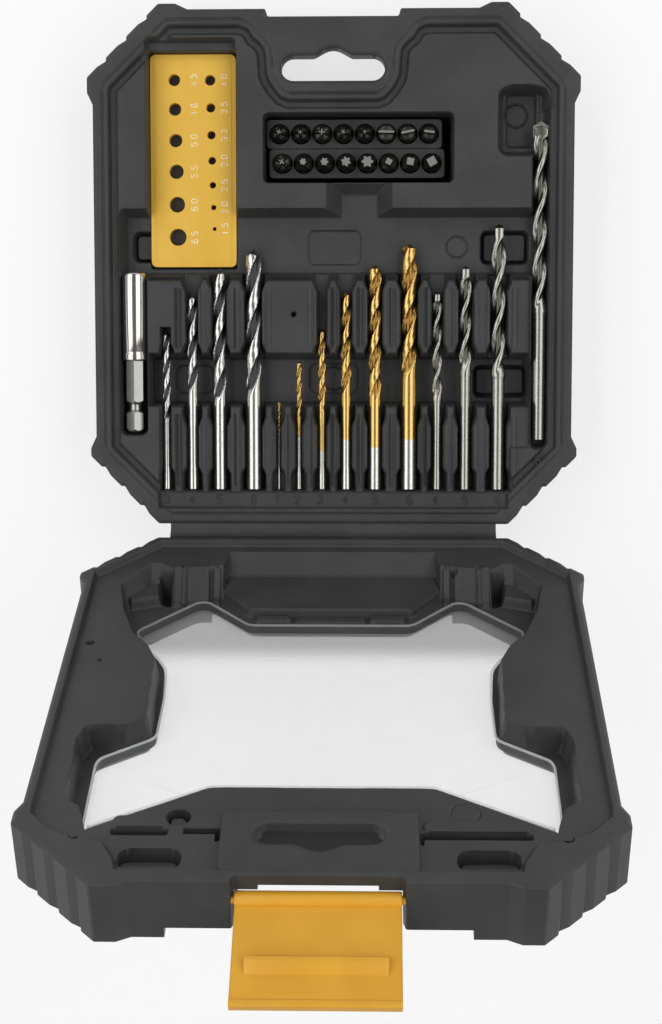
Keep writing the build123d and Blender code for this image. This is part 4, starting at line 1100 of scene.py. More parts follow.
    def window(self) -> list[bpy.types.Object]:
        """Clear pane behind the frame, the thin wall that stands up from it inside the opening, and the wall's lip."""
        sheet = prism("window_pane", LID, self.opening(2.2), self.pane - 1.3, self.pane)
        rings = []
        for name, low, high, inner in (("window_wall", self.pane + 0.02, self.well, 1.25),
                                       ("window_lip", self.well, self.well + 0.5, 0.9)):
            ring = prism(name, LID, self.opening(-0.15), low, high)
            rings.append(combine(ring, prism("void", LID, self.opening(-inner), low - 5.0, high + 5.0), "DIFFERENCE"))
        front = np.array([(-70.0, 169.0), (-34.4, 149.8), (34.4, 149.8), (70.0, 169.0), (69.0, 169.6), (34.0, 151.0),
                          (-34.0, 151.0), (-69.0, 169.6)])
        rings.append(prism("window_front", LID, front, self.pane + 0.02, self.ledge - 0.3))
        return [sheet, *rings]


# ---------------------------------------------------------------------------------------------- latch, web
@dataclass
class Latch:
    """The latch flap: a plate with a rolled edge, a hooked rib inside and a lip to pull."""

    body: str = "latch_flap"
    pivot: tuple[float, float] = (194.0, 8.9)
    half_width: float = 24.1
    droop: float = math.radians(17.0)

    def frame(self) -> Half:
        """Coordinates along the flap: x across, u away from its axis, and height towards its inner face."""
        u, out = self.pivot
        origin = LID.place(np.array(0.0), np.array(u), np.array(-out))[0] / MM
        along = np.array(LID.along) * math.cos(self.droop) - np.array(LID.up) * math.sin(self.droop)
        up = np.array(LID.up) * math.cos(self.droop) + np.array(LID.along) * math.sin(self.droop)
        return Half(LID.across, tuple(along), tuple(up), tuple(origin))

    def across(self, name: str, profile: Points, half_width: float) -> bpy.types.Object:
        """Prism over a profile of (reach, height) points, as wide as the flap.

        Args:
            name: the object's name.
            profile: the section.
            half_width: how far it goes to each side.

        Returns:
            The object.
        """
        flap = self.frame()
        side = Half(flap.along, flap.up, flap.across, flap.origin)
        return prism(name, side, np.array(profile), -half_width, half_width)

    def build(self) -> bpy.types.Object:
        """The flap as one closed mesh with soft edges."""
        turn = np.linspace(0, 2 * math.pi, 41)[:-1]
        plate = self.across("latch_flap", [(0, -1.9), (33.6, -1.9), (33.6, 0.1), (0, 0.1)], self.half_width)
        soften(plate, 0.45)
        rib = self.across("rib", [(18.6, -0.6), (18.8, 1.9), (19.5, 2.5), (20.9, 2.5), (22.2, 1.9), (24.0, 0.1),
                            (24.0, -0.6)], 20.3)
        soften(rib, 0.5)
        lip = self.across("lip", [(31.0, -1.2), (31.4, -2.6), (32.1, -3.0), (33.0, -2.9), (33.6, -2.2), (33.6, 0.1),
                            (33.0, 0.55),
                                  (31.8, 0.55), (31.0, 0.0)], self.half_width)
        soften(lip, 0.3)
        barrel = self.across("barrel", list(zip(2.5 * np.cos(turn), 2.5 * np.sin(turn))), self.half_width)
        soften(barrel, 0.4)
        pin = self.across("pin", list(zip(1.3 * np.cos(turn), 1.3 * np.sin(turn))), self.half_width + 3.0)
        for part in (rib, lip, barrel, pin):
            combine(plate, part, "UNION")
        return plate


@dataclass
class Web:
    """The hinge web: a thin ribbon that bends round the hinge axis from the tray to the lid."""

    half_width: float = 62.0
    thickness: float = 0.8

    def build(self) -> bpy.types.Object:
        """Ribbon whose middle line is a quadratic curve between the two edges, thickened both ways along its normal."""
        start, end = TRAY.place(0.0, REAR_EDGE + 0.2, -0.6)[0], LID.place(0.0, REAR_EDGE + 0.2, -0.6)[0]
        bend = (TRAY.place(0.0, 0.0, -0.75)[0] + LID.place(0.0, 0.0, -0.75)[0]) / 2
        t = np.linspace(0, 1, 25)[:, None]
        line = (1 - t) ** 2 * start + 2 * t * (1 - t) * bend + t ** 2 * end
        run = np.gradient(line, axis=0)
        normal = np.stack((0 * run[:, 0], -run[:, 2], run[:, 1]), 1) / np.linalg.norm(run, axis=1)[:, None]
        half = self.thickness * MM / 2
        section = np.vstack((line + normal * half, (line - normal * half)[::-1]))
        xs = np.linspace(-self.half_width, self.half_width, 9) * MM
        points = np.repeat(section[None], len(xs), axis=0)
        points[:, :, 0] = xs[:, None]
        count = len(section)
        faces = [grid_faces(len(xs), count, closed=True), np.arange(count)[None, ::-1],
                 (np.arange(count) + count * (len(xs) - 1))[None]]
        return mesh_piece("hinge_ribbon", points.reshape(-1, 3), outward(points.reshape(-1, 3), faces))


def outward(points: Array, faces: Sequence[Array]) -> list[Array]:
    """Faces of a closed mesh, turned over if they enclose a negative volume."""
    volume = 0.0
    for block in faces:
        corner = points[block]
        for k in range(1, block.shape[1] - 1):
            volume += float((np.cross(corner[:, 0], corner[:, k]) * corner[:, k + 1]).sum())
    return [block if volume > 0 else block[:, ::-1] for block in faces]


# ---------------------------------------------------------------------------------------------- drills
def swept(name: str, half: Half, x: float, height: float, stations: Array, radius: Array, turn: Array,
          sharp: float = 40.0) -> bpy.types.Object:
    """Closed bar along u: a ring of points at each station, with a point at both ends.

    Args:
        name: the object's name.
        half: coordinates that it is drawn in.
        x: its axis across the case.
        height: height of its axis.
        stations: values of u, first to last.
        radius: radius at each station and angle.
        turn: the angles.
        sharp: angle in degrees from which an edge is sharp.

    Returns:
        The object.
    """
    rings, around = radius.shape
    ring_x = x + radius * np.cos(turn)
    ring_h = height + radius * np.sin(turn)
    u = np.repeat(stations[:, None], around, axis=1)
    ends = half.place(np.array((x, x)), stations[[0, -1]], np.array((height, height)))
    points = np.vstack((half.place(ring_x, u, ring_h), ends))
    ring = np.arange(around)
    following = np.roll(ring, -1)
    last = (rings - 1) * around
    tip, tail = rings * around + 1, rings * around
    faces = [grid_faces(rings, around, closed=True),
             np.stack((following, ring, np.full(around, tail)), 1),
             np.stack((ring + last, following + last, np.full(around, tip)), 1)]
    return mesh_piece(name, points, outward(points, faces), sharp)


@dataclass
class DrillSet:
    """The fourteen drills, their flutes cut as a wave round the section that turns along the drill."""

    around: int = 56

    def section(self, drill: DrillSize, turned: Array) -> Array:
        """Share of the full radius round one section.

        A metal or wood drill keeps two lands, and a hollow between them cuts to two fifths of the radius. A
        masonry drill keeps only narrow ridges on a flattened core.
        """
        wave = np.cos(2 * turned)
        if drill.kind == "masonry":
            return 1 - 0.56 * ease(wave, -0.97, 0.2)
        hollow = (0.42 if drill.kind == "wood" else 0.5) * ease(wave, -0.12, 0.5)
        margin = 0.03 * ease(np.cos(2 * (turned - 0.32)), -0.9, -0.55)
        return 1 - hollow - margin * (wave < -0.1)

    def build(self, drill: DrillSize) -> bpy.types.Object:
        """One drill, from its shank to its point.

        The radius is the section's share of the full radius, eased in from the round shank over one and a
        half diameters, and limited by the cone of the point.
        """
        radius, tip = drill.size / 2, drill.tip
        flute_start = tip - drill.flute
        end_run = 0.6 * radius
        rough = np.linspace(flute_start - 0.5, tip - end_run, max(60, int(drill.flute / 0.42)))
        point = tip - end_run * np.linspace(1, 0.02, 9)[1:]
        stations = np.concatenate(([drill.end + 1e-3, drill.end + 0.25], np.linspace(drill.end + 1.0,
                            flute_start - 1.0, 8),
                                   rough, point))
        turn = np.linspace(0, 2 * math.pi, self.around, endpoint=False)[None, :]
        u = stations[:, None]
        turned = turn + (u - tip) * 2 * math.pi / drill.pitch + drill.turn
        cut = ease(u, flute_start - 0.4, flute_start + 1.5 * drill.size)
        full = radius * (1 + (self.section(drill, turned) - 1) * cut)
        if drill.kind == "masonry":
            shank = ease(u, flute_start - 1.5, flute_start + 0.6)
            thin = np.sin(turn) if drill.flat_up else np.cos(turn)
            head = np.minimum(0.94, 0.52 / np.maximum(np.abs(thin), 1e-6)) * radius
            full = full * (0.84 + 0.16 * shank)
            full = full + (head - full) * ease(u, tip - 1.25 * drill.size, tip - 0.8 * drill.size)
        if drill.kind == "wood":
            spur = tip - 0.5 * drill.size
            brad = np.maximum((tip - u) / (0.5 * drill.size), 0.02) * 0.24 * drill.size
            rim = radius * (1 - ease(u, spur - 0.2, spur + 0.35 * ease(np.cos(2 * turned), -0.5,
                                -1.0) * drill.size + 0.05))
            full = np.minimum(full, np.maximum(rim, brad))
        elif drill.kind == "metal":
            full = np.minimum(full, np.maximum((tip - u) / 0.6, 0.01))
        else:
            inset = 0.42 * radius - 0.072 if drill.flat_up else 0.0
            full = np.minimum(full, np.maximum((tip - inset - u) / 0.6, 0.01))
        bevel = np.minimum(1, 0.86 + (u - drill.end) / 0.25 * 0.14)
        piece = swept(drill.node.replace("drill", "twist"), TRAY, drill.x, -DRILL_LEVEL, stations, full * bevel, turn)
        land = ease(full / radius, 0.86, 0.93) if drill.kind != "masonry" else ease(full / radius, 0.5, 0.75)
        land = np.where(cut > 0.02, land, 1.0) * np.ones_like(full)
        mark = piece.data.attributes.new("land", "FLOAT", "POINT")
        mark.data.foreach_set("value", np.concatenate((land.ravel(), (1.0, 1.0))).astype(np.float32))
        return piece

    def finish(self, drill: DrillSize) -> bpy.types.Material:
        """Material of one drill: bright, masonry grey, or gold with its bare steel shank."""
        if drill.kind == "wood":
            return BRIGHT.build()
        if drill.kind == "masonry":
            return GREY_STEEL.build()
        bare = (CENTRE_U - GOLD_ENDS[drill.node]) * MM
        return Steel("gold_" + drill.node, colour(210, 174, 104), colour(158, 122, 62), 0.25, 0.36, Grain.TURNED, True,
                     (bare - 0.0005, bare + 0.0005), colour(200, 198, 193)).build()


# ---------------------------------------------------------------------------------------------- numbers
STROKES: dict[str, tuple[tuple[tuple[float, float], ...], ...]] = {
    "0": (((0.15, 0), (0, 0.2), (0, 0.8), (0.15, 1), (0.45, 1), (0.6, 0.8), (0.6, 0.2), (0.45, 0), (0.15, 0)),),
    "1": (((0.12, 0.8), (0.34, 1), (0.34, 0)),),
    "2": (((0.02, 0.8), (0.14, 0.98), (0.46, 0.98), (0.58, 0.78), (0.52, 0.52), (0, 0), (0.6, 0)),),
    "3": (((0.02, 0.86), (0.16, 1), (0.44, 1), (0.58, 0.84), (0.56, 0.62), (0.34, 0.53), (0.58, 0.42), (0.6, 0.18),
           (0.44, 0),
           (0.16, 0), (0, 0.14)),),
    "4": (((0.44, 0), (0.44, 1), (0, 0.3), (0.62, 0.3)),),
    "5": (((0.56, 1), (0.08, 1), (0.04, 0.56), (0.2, 0.62), (0.46, 0.6), (0.6, 0.42), (0.58, 0.16), (0.42, 0), (0.14,
                        0), (0, 0.12)),),
    "6": (((0.54, 0.9), (0.4, 1), (0.18, 1), (0.02, 0.76), (0, 0.22), (0.16, 0), (0.44, 0), (0.6, 0.18), (0.58, 0.42),
           (0.42, 0.56),
           (0.18, 0.55), (0.02, 0.36)),),
    "8": (((0.3, 0.54), (0.1, 0.64), (0.06, 0.86), (0.2, 1), (0.4, 1), (0.54, 0.86), (0.5, 0.64), (0.3, 0.54), (0.06,
                        0.42),
           (0, 0.16), (0.16, 0), (0.44, 0), (0.6, 0.16), (0.54, 0.42), (0.3, 0.54)),),
    ".": (((0.16, 0.02), (0.2, 0.02)),),
}


@dataclass(frozen=True)
class Lettering:
    """Numbers drawn as raised rounded strokes on one half of the case."""

    half: Half
    height: float
    size: float
    stroke: float
    upright: bool = True

    def strokes(self, text: str, x: float, u: float) -> list[Array]:
        """Lines of one text, centred on a point, as arrays of x and u."""
        widths = [0.42 if letter == "." else 0.86 for letter in text]
        start = -(sum(widths) - 0.26) / 2
        lines = []
        for letter, width in zip(text, widths):
            for stroke in STROKES[letter]:
                line = (np.array(stroke) + (start, -0.5)) * self.size
                if not self.upright:
                    line = np.stack((-line[:, 1], line[:, 0]), 1)
                lines.append(line + (x, u))
            start += width
        return lines

    def build(self, name: str, texts: Sequence[tuple[str, float, float]]) -> bpy.types.Object:
        """One piece with all the texts: each stroke is a six-sided tube along its line, closed at both ends.

        Args:
            name: the object's name.
            texts: each text with the x and u of its middle.

        Returns:
            The object.
        """
        turn = np.linspace(0, 2 * math.pi, 6, endpoint=False)
        points, faces, start = [], [[], []], 0
        for text, x, u in texts:
            for line in self.strokes(text, x, u):
                run = np.gradient(line, axis=0)
                side = np.stack((run[:, 1], -run[:, 0]), 1) / np.linalg.norm(run, axis=1)[:, None]
                plan = line[:, None] + side[:, None] * (self.stroke * np.cos(turn))[None, :, None]
                tall = self.height + np.broadcast_to(self.stroke * 0.8 * np.sin(turn), plan.shape[:2])
                block = self.half.place(plan[..., 0], plan[..., 1], tall)
                tube = [grid_faces(len(line), 6, closed=True), np.arange(6)[None, ::-1],
                        np.arange(6)[None] + 6 * (len(line) - 1)]
                tube = outward(block, tube)
                points.append(block)
                faces[0].append(tube[0] + start)
                faces[1] += [tube[1] + start, tube[2] + start]
                start += len(block)
        return mesh_piece(name, np.vstack(points), [np.vstack(faces[0]), np.vstack(faces[1])], 70.0)


# ---------------------------------------------------------------------------------------------- gauge, strips
def plate_with_holes(name: str, half: Half, outline: Array, holes: Sequence[tuple[float, float, float]], low: float,
                     high: float, edge: float) -> bpy.types.Object:
    """Flat plate with round holes, all its edges softened.

    Args:
        name: the object's name.
        half: coordinates that it is drawn in.
        outline: its outer loop.
        holes: x, u and radius of each hole.
        low: lower height.
        high: upper height.
        edge: width of the softened edges.

    Returns:
        The object.
    """
    plate = prism(name, half, outline, low, high)
    turn = np.linspace(0, 2 * math.pi, 33)[:-1]
    for x, u, radius in holes:
        loop = np.stack((x + radius * np.cos(turn), u + radius * np.sin(turn)), 1)
        combine(plate, prism("hole", half, loop, low - 5, high + 5), "DIFFERENCE")
    return soften(plate, edge, 2)


@dataclass
class Gauge:
    """The yellow drill gauge with its thirteen holes, border line and pale numbers."""

    body: str = "gauge"
    centre: tuple[float, float] = (-53.3, 140.7)
    size: tuple[float, float] = (32.5, 79.8)
    top: float = -9.0
    thickness: float = 4.0
    bores: tuple[tuple[float, float, float], ...] = (
        (4.5, -7.1, 30.4), (4.8, -6.9, 19.5), (5.0, -6.7, 7.8), (5.5, -6.5, -3.9), (6.0, -6.3, -16.3), (6.5, -6.1,
                            -28.6),
        (4.0, 6.5, 30.3), (3.5, 6.7, 20.0), (3.2, 6.9, 9.8), (3.0, 7.1, 0.2), (2.5, 7.3, -9.0), (2.0, 7.6, -17.4),
        (1.5, 7.9, -25.5))

    def build(self) -> tuple[bpy.types.Object, bpy.types.Object, bpy.types.Object]:
        """The plate, the raised line near its edge, and the numbers."""
        x, u = self.centre
        half_x, half_u = self.size[0] / 2, self.size[1] / 2
        outline = rounded(rectangle((x - half_x, x + half_x), (u - half_u, u + half_u)), 2.4, 7)
        bores = [(x + hx, u + hu, size / 2) for size, hx, hu in self.bores]
        plate = plate_with_holes("gauge_plate", TRAY, outline, bores, self.top - self.thickness, self.top, 0.35)
        line = rounded(rectangle((x - half_x + 1.7, x + half_x - 1.7), (u - half_u + 1.7, u + half_u - 1.7)), 1.6, 5)
        border = prism("gauge_border", TRAY, line, self.top - 0.2, self.top + 0.1)
        combine(border, prism("inside", TRAY, grown(line, -0.3), self.top - 3, self.top + 3), "DIFFERENCE")
        texts = [(f"{size:.1f}", x + (0.3 if size >= 4.5 else 11.9), u + hu - 0.1) for size, hx, hu in self.bores]
        numbers = Lettering(TRAY, self.top, 2.3, 0.24, upright=False).build("gauge_numbers", texts)
        return plate, border, numbers


@dataclass
class Bits:
    """The two black strips and the sixteen screwdriver bits that stand in them."""

    centre_x: float = 8.4
    shift: float = 0.5
    pitch: float = 8.05
    seam: float = 144.95
    width: float = 10.7
    length: float = 66.1
    top: float = -7.0

    def place(self, row: int, index: int) -> tuple[float, float]:
        """Centre of a bit, counted from the left of the upper (0) or the lower (1) strip."""
        side = 1 if row == 0 else -1
        return self.centre_x - side * self.shift + (index - 3.5) * self.pitch, self.seam + side * (0.15 + self.width / 2)

    def strip(self, row: int, name: str) -> bpy.types.Object:
        """One strip with eight sockets."""
        places = [self.place(row, index) for index in range(8)]
        middle, u = (places[0][0] + places[-1][0]) / 2, places[0][1]
        outline = rounded(rectangle((middle - self.length / 2, middle + self.length / 2), (u - self.width / 2,
                            u + self.width / 2)), 1.6, 5)
        base = prism(name, TRAY, outline, -26.05, self.top)
        turn = np.linspace(0, 2 * math.pi, 41)[:-1]
        for x, bit_u in places:
            loop = np.stack((x + 3.85 * np.cos(turn), bit_u + 3.85 * np.sin(turn)), 1)
            combine(base, prism("socket", TRAY, loop, -25.15, 10.0), "DIFFERENCE")
        return soften(base, 0.3, 2)

    def drivers(self, row: int, side: str) -> list[tuple[str, bpy.types.Object]]:
        """The eight bits of a strip, each with its node's name.

        Args:
            row: 0 for the upper strip and 1 for the lower.
            side: the strip's name.

        Returns:
            Names and objects.
        """
        kinds = ((Tip.CROSS, 4.4, 0.3), (Tip.CROSS, 3.6, 0.0), (Tip.CROSS, 5.6, 0.1), (Tip.CROSS, 4.4, 0.5),
                 (Tip.CROSS, 3.6, 0.2),
                 (Tip.BLADE, 6.0, 0.02), (Tip.BLADE, 5.0, -0.2), (Tip.BLADE, 4.0, 0.12))
        if row:
            kinds = ((Tip.CROSS, 5.6, 0.6), (Tip.STAR, 3.0, 0.2), (Tip.STAR, 3.5, 0.1), (Tip.STAR, 4.2, 0.3),
                     (Tip.STAR, 5.0, 0.0),
                     (Tip.SQUARE, 2.3, 0.5), (Tip.SQUARE, 2.8, 0.2), (Tip.SQUARE, 3.3, -0.5))
        made = []
        for index, (tip, size, turn) in enumerate(kinds):
            x, u = self.place(row, index)
            made.append((f"bit_{side}_{index + 1}", Driver(tip, size, turn).build(f"driver_{side}_{index + 1}", x, u)))
        return made


class Tip(Enum):
    """Shape of a screwdriver bit's end."""

    CROSS = "cross"
    BLADE = "blade"
    STAR = "star"
    SQUARE = "square"


@dataclass(frozen=True)
class Driver:
    """One screwdriver bit: hexagonal, with its end turned to a cone and ground to its shape.

    The section's radius is 3.175 over the cosine of the angle from its flats, up to the shoulder. Above it, the
    radius eases from a round neck to the end's own section, which narrows towards the top.
    """

    tip: Tip
    size: float
    turn: float = 0.0
    base: float = -24.98
    shoulder: float = -5.4

    def section(self, turn: Array) -> Array:
        """Radius of the end's section at each angle."""
        turn = turn + self.turn
        if self.tip is Tip.CROSS:
            wing = 0.5 * (1 + np.cos(4 * turn))
            return self.size / 2 * (0.3 + 0.7 * ease(wing, 0.3, 0.95))
        if self.tip is Tip.BLADE:
            return np.minimum(self.size / 2, 0.42 / np.maximum(np.abs(np.sin(turn)), 1e-6))
        if self.tip is Tip.STAR:
            return self.size / 2 * (0.84 + 0.16 * np.cos(6 * turn))
        return self.size / 2 / np.maximum(np.abs(np.cos(turn)), np.abs(np.sin(turn)))

    def build(self, name: str, x: float, u: float) -> bpy.types.Object:
        """The bit, standing at a place in the tray.

        Args:
            name: the object's name.
            x: its axis across the case.
            u: its axis along the case.

        Returns:
            The object.
        """
        heights = np.concatenate(([self.base, self.base + 0.6, -9.0, self.shoulder - 1.0], np.linspace(self.shoulder,
                            -0.02, 15)))
        turn = np.linspace(0, 2 * math.pi, 60, endpoint=False)[None, :]
        h = heights[:, None]
        flat = 3.175 / np.cos((turn + math.pi / 6) % (math.pi / 3) - math.pi / 6)
        body = np.minimum(flat, 3.55) * np.where(h < self.base + 0.3, 0.9, 1.0)
        rise = ease(h, self.shoulder, -2.2)
        cone = 3.35 + (self.size / 2 + 0.1 - 3.35) * rise
        end = self.section(turn)
        taper = {Tip.CROSS: 1.0 - 0.62 * ease(h, -2.4, 0.2), Tip.BLADE: 1.0, Tip.STAR: 1.0 - 0.12 * ease(h, -0.6, 0.0),
                 Tip.SQUARE: 1.0 - 0.06 * ease(h, -0.5, 0.0)}[self.tip]
        shaped = cone + (end * taper - cone) * ease(h, -3.4, -1.6)
        radius = np.minimum(np.where(h < self.shoulder, body, np.minimum(body, shaped)), 3.6)
        return swept(name, STANDING, x, u, heights, radius, turn, 35)


@dataclass
class Holder:
    """The magnetic bit holder: a polished sleeve on a hexagonal shank."""

    body: str = "bit_holder"
    x: float = -75.9
    front: float = 98.2
    length: float = 33.2
    radius: float = 4.95

    def sleeve(self) -> bpy.types.Object:
        """Sleeve turned from a profile, with rolled ends and a hexagonal socket sunk in its front."""
        rear = self.front - self.length
        profile = np.array([(rear, 2.0), (rear, 4.3), (rear + 0.25, 4.7), (rear + 0.7, self.radius), (rear + 3.0,
                            self.radius),
                            (rear + 3.05, self.radius - 0.05), (rear + 3.5, self.radius - 0.05), (rear + 3.55,
                                                self.radius),
                            (self.front - 1.2, self.radius), (self.front - 0.5, 4.8), (self.front, 4.35), (self.front,
                                                2.0)])
        turn = np.linspace(0, 2 * math.pi, 72, endpoint=False)[None, :]
        radius = np.repeat(profile[:, 1:], turn.size, axis=1)
        bar = swept("holder_tube", TRAY, self.x, -DRILL_LEVEL, profile[:, 0], radius, turn)
        hexagon = np.linspace(0, 2 * math.pi, 7)[:-1]
        socket = np.repeat([[3.78], [3.78]], 6, axis=1)
        tool = swept("socket", TRAY, self.x, -DRILL_LEVEL, np.array((self.front - 12.0, self.front + 3.0)), socket,
                     hexagon[None, :], 20)
        return combine(bar, tool, "DIFFERENCE")

    def shank(self) -> bpy.types.Object:
        """Hexagonal shank: six flats bounded by a turned profile with a round groove and bevelled ends."""
        rear, front = 37.8, self.front - self.length + 11.9
        profile = np.array([(rear, 2.75), (rear + 0.5, 3.1), (rear + 1.3, 3.7), (rear + 7.2, 3.7), (rear + 7.8, 3.1),
                            (rear + 8.6, 2.55),
                            (rear + 9.6, 2.4), (rear + 10.6, 2.55), (rear + 11.4, 3.1), (rear + 12.0, 3.7), (front,
                                                3.7)])
        stations = np.unique(np.concatenate((np.linspace(rear, rear + 13, 60), [front])))
        bound = np.interp(stations, profile[:, 0], profile[:, 1])[:, None]
        turn = np.linspace(0, 2 * math.pi, 96, endpoint=False)[None, :]
        flat = 3.175 / np.cos((turn + math.pi / 6) % (math.pi / 3) - math.pi / 6)
        return swept("holder_hex", TRAY, self.x, -DRILL_LEVEL, stations, np.minimum(bound, flat), turn, 24)


# ---------------------------------------------------------------------------------------------- stage
@dataclass
class Studio:
    """Pale floor, soft lamps and the camera that stands over the tray."""

    eye: tuple[float, float, float] = (-0.01629, 0.03436, 0.68937)
    right: tuple[float, float, float] = (-0.99967, 0.00025, -0.02572)
    up: tuple[float, float, float] = (0.00198, -0.99626, -0.08646)
    back: tuple[float, float, float] = (-0.02564, -0.08649, 0.99593)
    lens: float = 61.23

    def camera(self) -> None:
        """Camera looking down on the tray, with the latch side up in the picture."""
        data = bpy.data.cameras.new("camera")
        data.lens, data.sensor_width, data.sensor_fit = self.lens, 36.0, "AUTO"
        data.clip_start, data.clip_end = 0.01, 50.0
        camera = bpy.data.objects.new("camera", data)
        bpy.context.scene.collection.objects.link(camera)
        turn = Matrix((self.right, self.up, self.back)).transposed().to_4x4()
        camera.matrix_world = Matrix.Translation(self.eye) @ turn
        bpy.context.scene.camera = camera

    def white(self, name: str, share: float) -> bpy.types.Material:
        """Pale surface that the camera, glass and metal see as nearly white, with its shadows kept."""
        coat = Coat(name)
        path = coat.node("LightPath", output="Is Camera Ray")
        glossy = coat.node("LightPath", output="Is Glossy Ray")
        through = coat.node("LightPath", output="Is Transmission Ray")
        seen = path.math("MAXIMUM", path, glossy.math("MAXIMUM", glossy, through)) * share
        cloud = coat.noise(0.4, 2.0, 0.5)
        pale = coat.node("BsdfDiffuse", inputs={"Color": coat.blend(cloud, (0.91, 0.91, 0.91, 1), (0.94, 0.94, 0.94,
                            1))})
        glow = coat.node("Emission", inputs={"Color": (1, 1, 1, 1), "Strength": 1.0})
        return coat.close(coat.node("MixShader", inputs={0: seen, 1: pale, 2: glow}))

    def floor(self) -> None:
        """Wide flat floor under the tray, and a low round wall far behind it, both with the same white."""
        half = 3.0
        points = np.array([(-half, -half, 0), (half, -half, 0), (half, half, 0), (-half, half, 0)], float)
        floor = mesh_piece("floor", points, [np.array([[0, 1, 2, 3]])])
        turn = np.linspace(0, 2 * math.pi, 65)[:-1]
        ring = np.stack((2.9 * np.cos(turn), 2.9 * np.sin(turn)), 1)
        wall = mesh_piece("backdrop", np.vstack((np.c_[ring, np.full(64, -0.01)], np.c_[ring, np.full(64, 1.1)])),
                          [grid_faces(2, 64, closed=True)[:, ::-1]])
        white = self.white("floor_white", 0.7)
        for piece in (floor, wall):
            piece.data.materials.append(white)

    def lamp(self, name: str, at: Sequence[float], size: tuple[float, float], power: float) -> None:
        """Soft rectangular lamp, long along the drills, that faces the middle of the case.

        Args:
            name: the lamp's name.
            at: where it hangs, in metres.
            size: its two sides in metres, the first along y.
            power: its power in watts.
        """
        data = bpy.data.lights.new(name, "AREA")
        data.shape, data.size, data.size_y, data.energy = "RECTANGLE", size[0], size[1], power
        lamp = bpy.data.objects.new(name, data)
        bpy.context.scene.collection.objects.link(lamp)
        aim = Vector((0, at[1], 0.03)) - Vector(at)
        lamp.matrix_world = Matrix.Translation(at) @ aim.to_track_quat("-Z", "Y").to_matrix().to_4x4()

    def light(self) -> None:
        """Two long softboxes, one on each side, with a gap between them overhead, and a dim even world."""
        self.lamp("left", (0.773, -0.25, 1.045), (2.6, 0.87), 14.0)
        self.lamp("right", (-0.773, -0.25, 1.045), (2.6, 0.87), 13.0)
        world = bpy.data.worlds.new("studio")
        bpy.context.scene.world = world
        world.use_nodes = True
        world.node_tree.nodes["Background"].inputs["Color"].default_value = (1, 1, 1, 1)
        world.node_tree.nodes["Background"].inputs["Strength"].default_value = 0.16
        bpy.context.scene.view_settings.view_transform = "Standard"


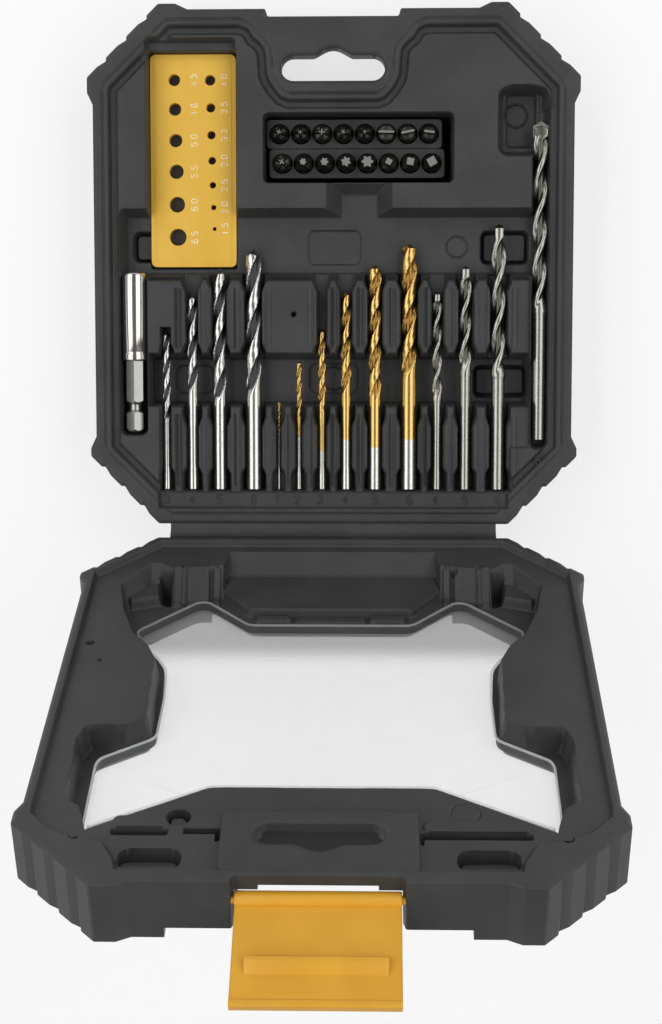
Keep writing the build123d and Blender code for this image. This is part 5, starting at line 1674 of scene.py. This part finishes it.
# ---------------------------------------------------------------------------------------------- assembly
@dataclass
class Case:
    """Puts each piece on its body, in place of the plain solid that it stands for."""

    finishes: dict[str, bpy.types.Material] = field(default_factory=dict)

    def coat(self, finish: Callable) -> bpy.types.Material:
        """Material of a finish, made once."""
        if finish.name not in self.finishes:
            self.finishes[finish.name] = finish.build()
        return self.finishes[finish.name]

    def mount(self, piece: bpy.types.Object, material: bpy.types.Material, body: str, slot: str, *nodes: str) -> None:
        """Dress a piece and make it ride.

        Args:
            piece: the object.
            material: its finish.
            body: the body that it moves with.
            slot: not used.
            nodes: the plain solids that it stands for.
        """
        piece.data.materials.clear()
        piece.data.materials.append(material)
        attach(piece, body)
        if nodes:
            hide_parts(*nodes)
        log.info("%s on %s, %d faces", piece.name, body, len(piece.data.polygons))

    def shells(self) -> None:
        """Tray, lid, window, web and latch."""
        case = self.coat(CASE)
        for piece in Tray().build():
            self.mount(piece, case, "tray", "case", "tray_shell")
        lid = Lid()
        for piece in lid.build():
            self.mount(piece, case, "lid", "case", "lid_frame")
        # The lip and the front strip take the painted highlight finish.
        for piece, finish in zip(lid.window(), (CLEAR, WALL, LIP_HIGHLIGHT, LIP_HIGHLIGHT)):
            self.mount(piece, self.coat(finish), "lid", "window", "lid_window")
        self.mount(Latch().build(), self.coat(YELLOW), "latch_flap", "yellow", "latch")
        web = Web().build()
        web.data.materials.append(case)
        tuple(TRAY.place(0.0, 1.6, -0.7)[0])
        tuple(LID.place(0.0, 1.6, -0.7)[0])
        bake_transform(web)
        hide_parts("hinge_web")
        log.info("%s between tray and lid, %d faces", web.name, len(web.data.polygons))

    def numbers(self) -> None:
        """Raised sizes behind the drills."""
        texts = [("3", -63.9), ("4", -54.2), ("5", -43.6), ("6", -30.3), ("1", -21.3), ("2", -14.0), ("3", -5.0),
                 ("4", 4.6),
                 ("5", 16.1), ("6", 29.2), ("4", 39.0), ("5", 50.2), ("6", 62.9)]
        places = [(text, x, 12.2) for text, x in texts]
        band = Lettering(TRAY, -2.45, 3.0, 0.34).build("size_numbers", places)
        self.mount(band, self.coat(CASE), "tray", "case")
        side = Lettering(TRAY, -1.15, 3.0, 0.34).build("long_drill_number", [("6", 77.9, 27.4)])
        self.mount(side, self.coat(CASE), "tray", "case")

    def contents(self) -> None:
        """Drills, bits, holder and gauge."""
        drills = DrillSet()
        for drill in DRILLS:
            slot = {"wood": "drill_steel", "metal": "gold_steel", "masonry": "masonry_steel"}[drill.kind]
            nodes = [drill.node]
            if drill.kind == "masonry" and not drill.flat_up:
                nodes.append(drill.node.replace("masonry_drill", "carbide_tip"))
            self.mount(drills.build(drill), drills.finish(drill), drill.node, slot, *nodes)
        plate, border, numbers = Gauge().build()
        self.mount(plate, self.coat(PALE_YELLOW), "gauge", "yellow", "drill_gauge")
        self.mount(border, self.coat(PALE_YELLOW), "gauge", "yellow")
        self.mount(numbers, self.coat(NUMBER), "gauge", "yellow")
        bits = Bits()
        for row, side in enumerate(("upper", "lower")):
            strip = bits.strip(row, f"strip_{side}")
            self.mount(strip, self.coat(STRIP), f"{side}_strip", "strip", f"bit_strip_{side}")
            for node, driver in bits.drivers(row, side):
                self.mount(driver, self.coat(BIT), node, "bit_steel", node)
        holder = Holder()
        self.mount(holder.sleeve(), self.coat(POLISHED), "bit_holder", "polished_steel", "holder_sleeve")
        self.mount(holder.shank(), self.coat(SHANK), "bit_holder", "bit_steel", "holder_shank")

    def solids(self) -> None:
        """Finishes for the solids that stay as they are."""
        for name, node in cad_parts.items():
            finish = CARBIDE if name.startswith("carbide") else MAGNET
            node.data.materials.clear()
            node.data.materials.append(self.coat(finish))


def main() -> None:
    """Build the stage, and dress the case."""
    logging.basicConfig(level=logging.INFO, format="%(name)s: %(message)s")
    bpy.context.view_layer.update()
    studio = Studio()
    studio.camera()
    studio.floor()
    studio.light()
    case = Case()
    case.solids()
    case.shells()
    case.numbers()
    case.contents()


if __name__ == "__main__":
    main()
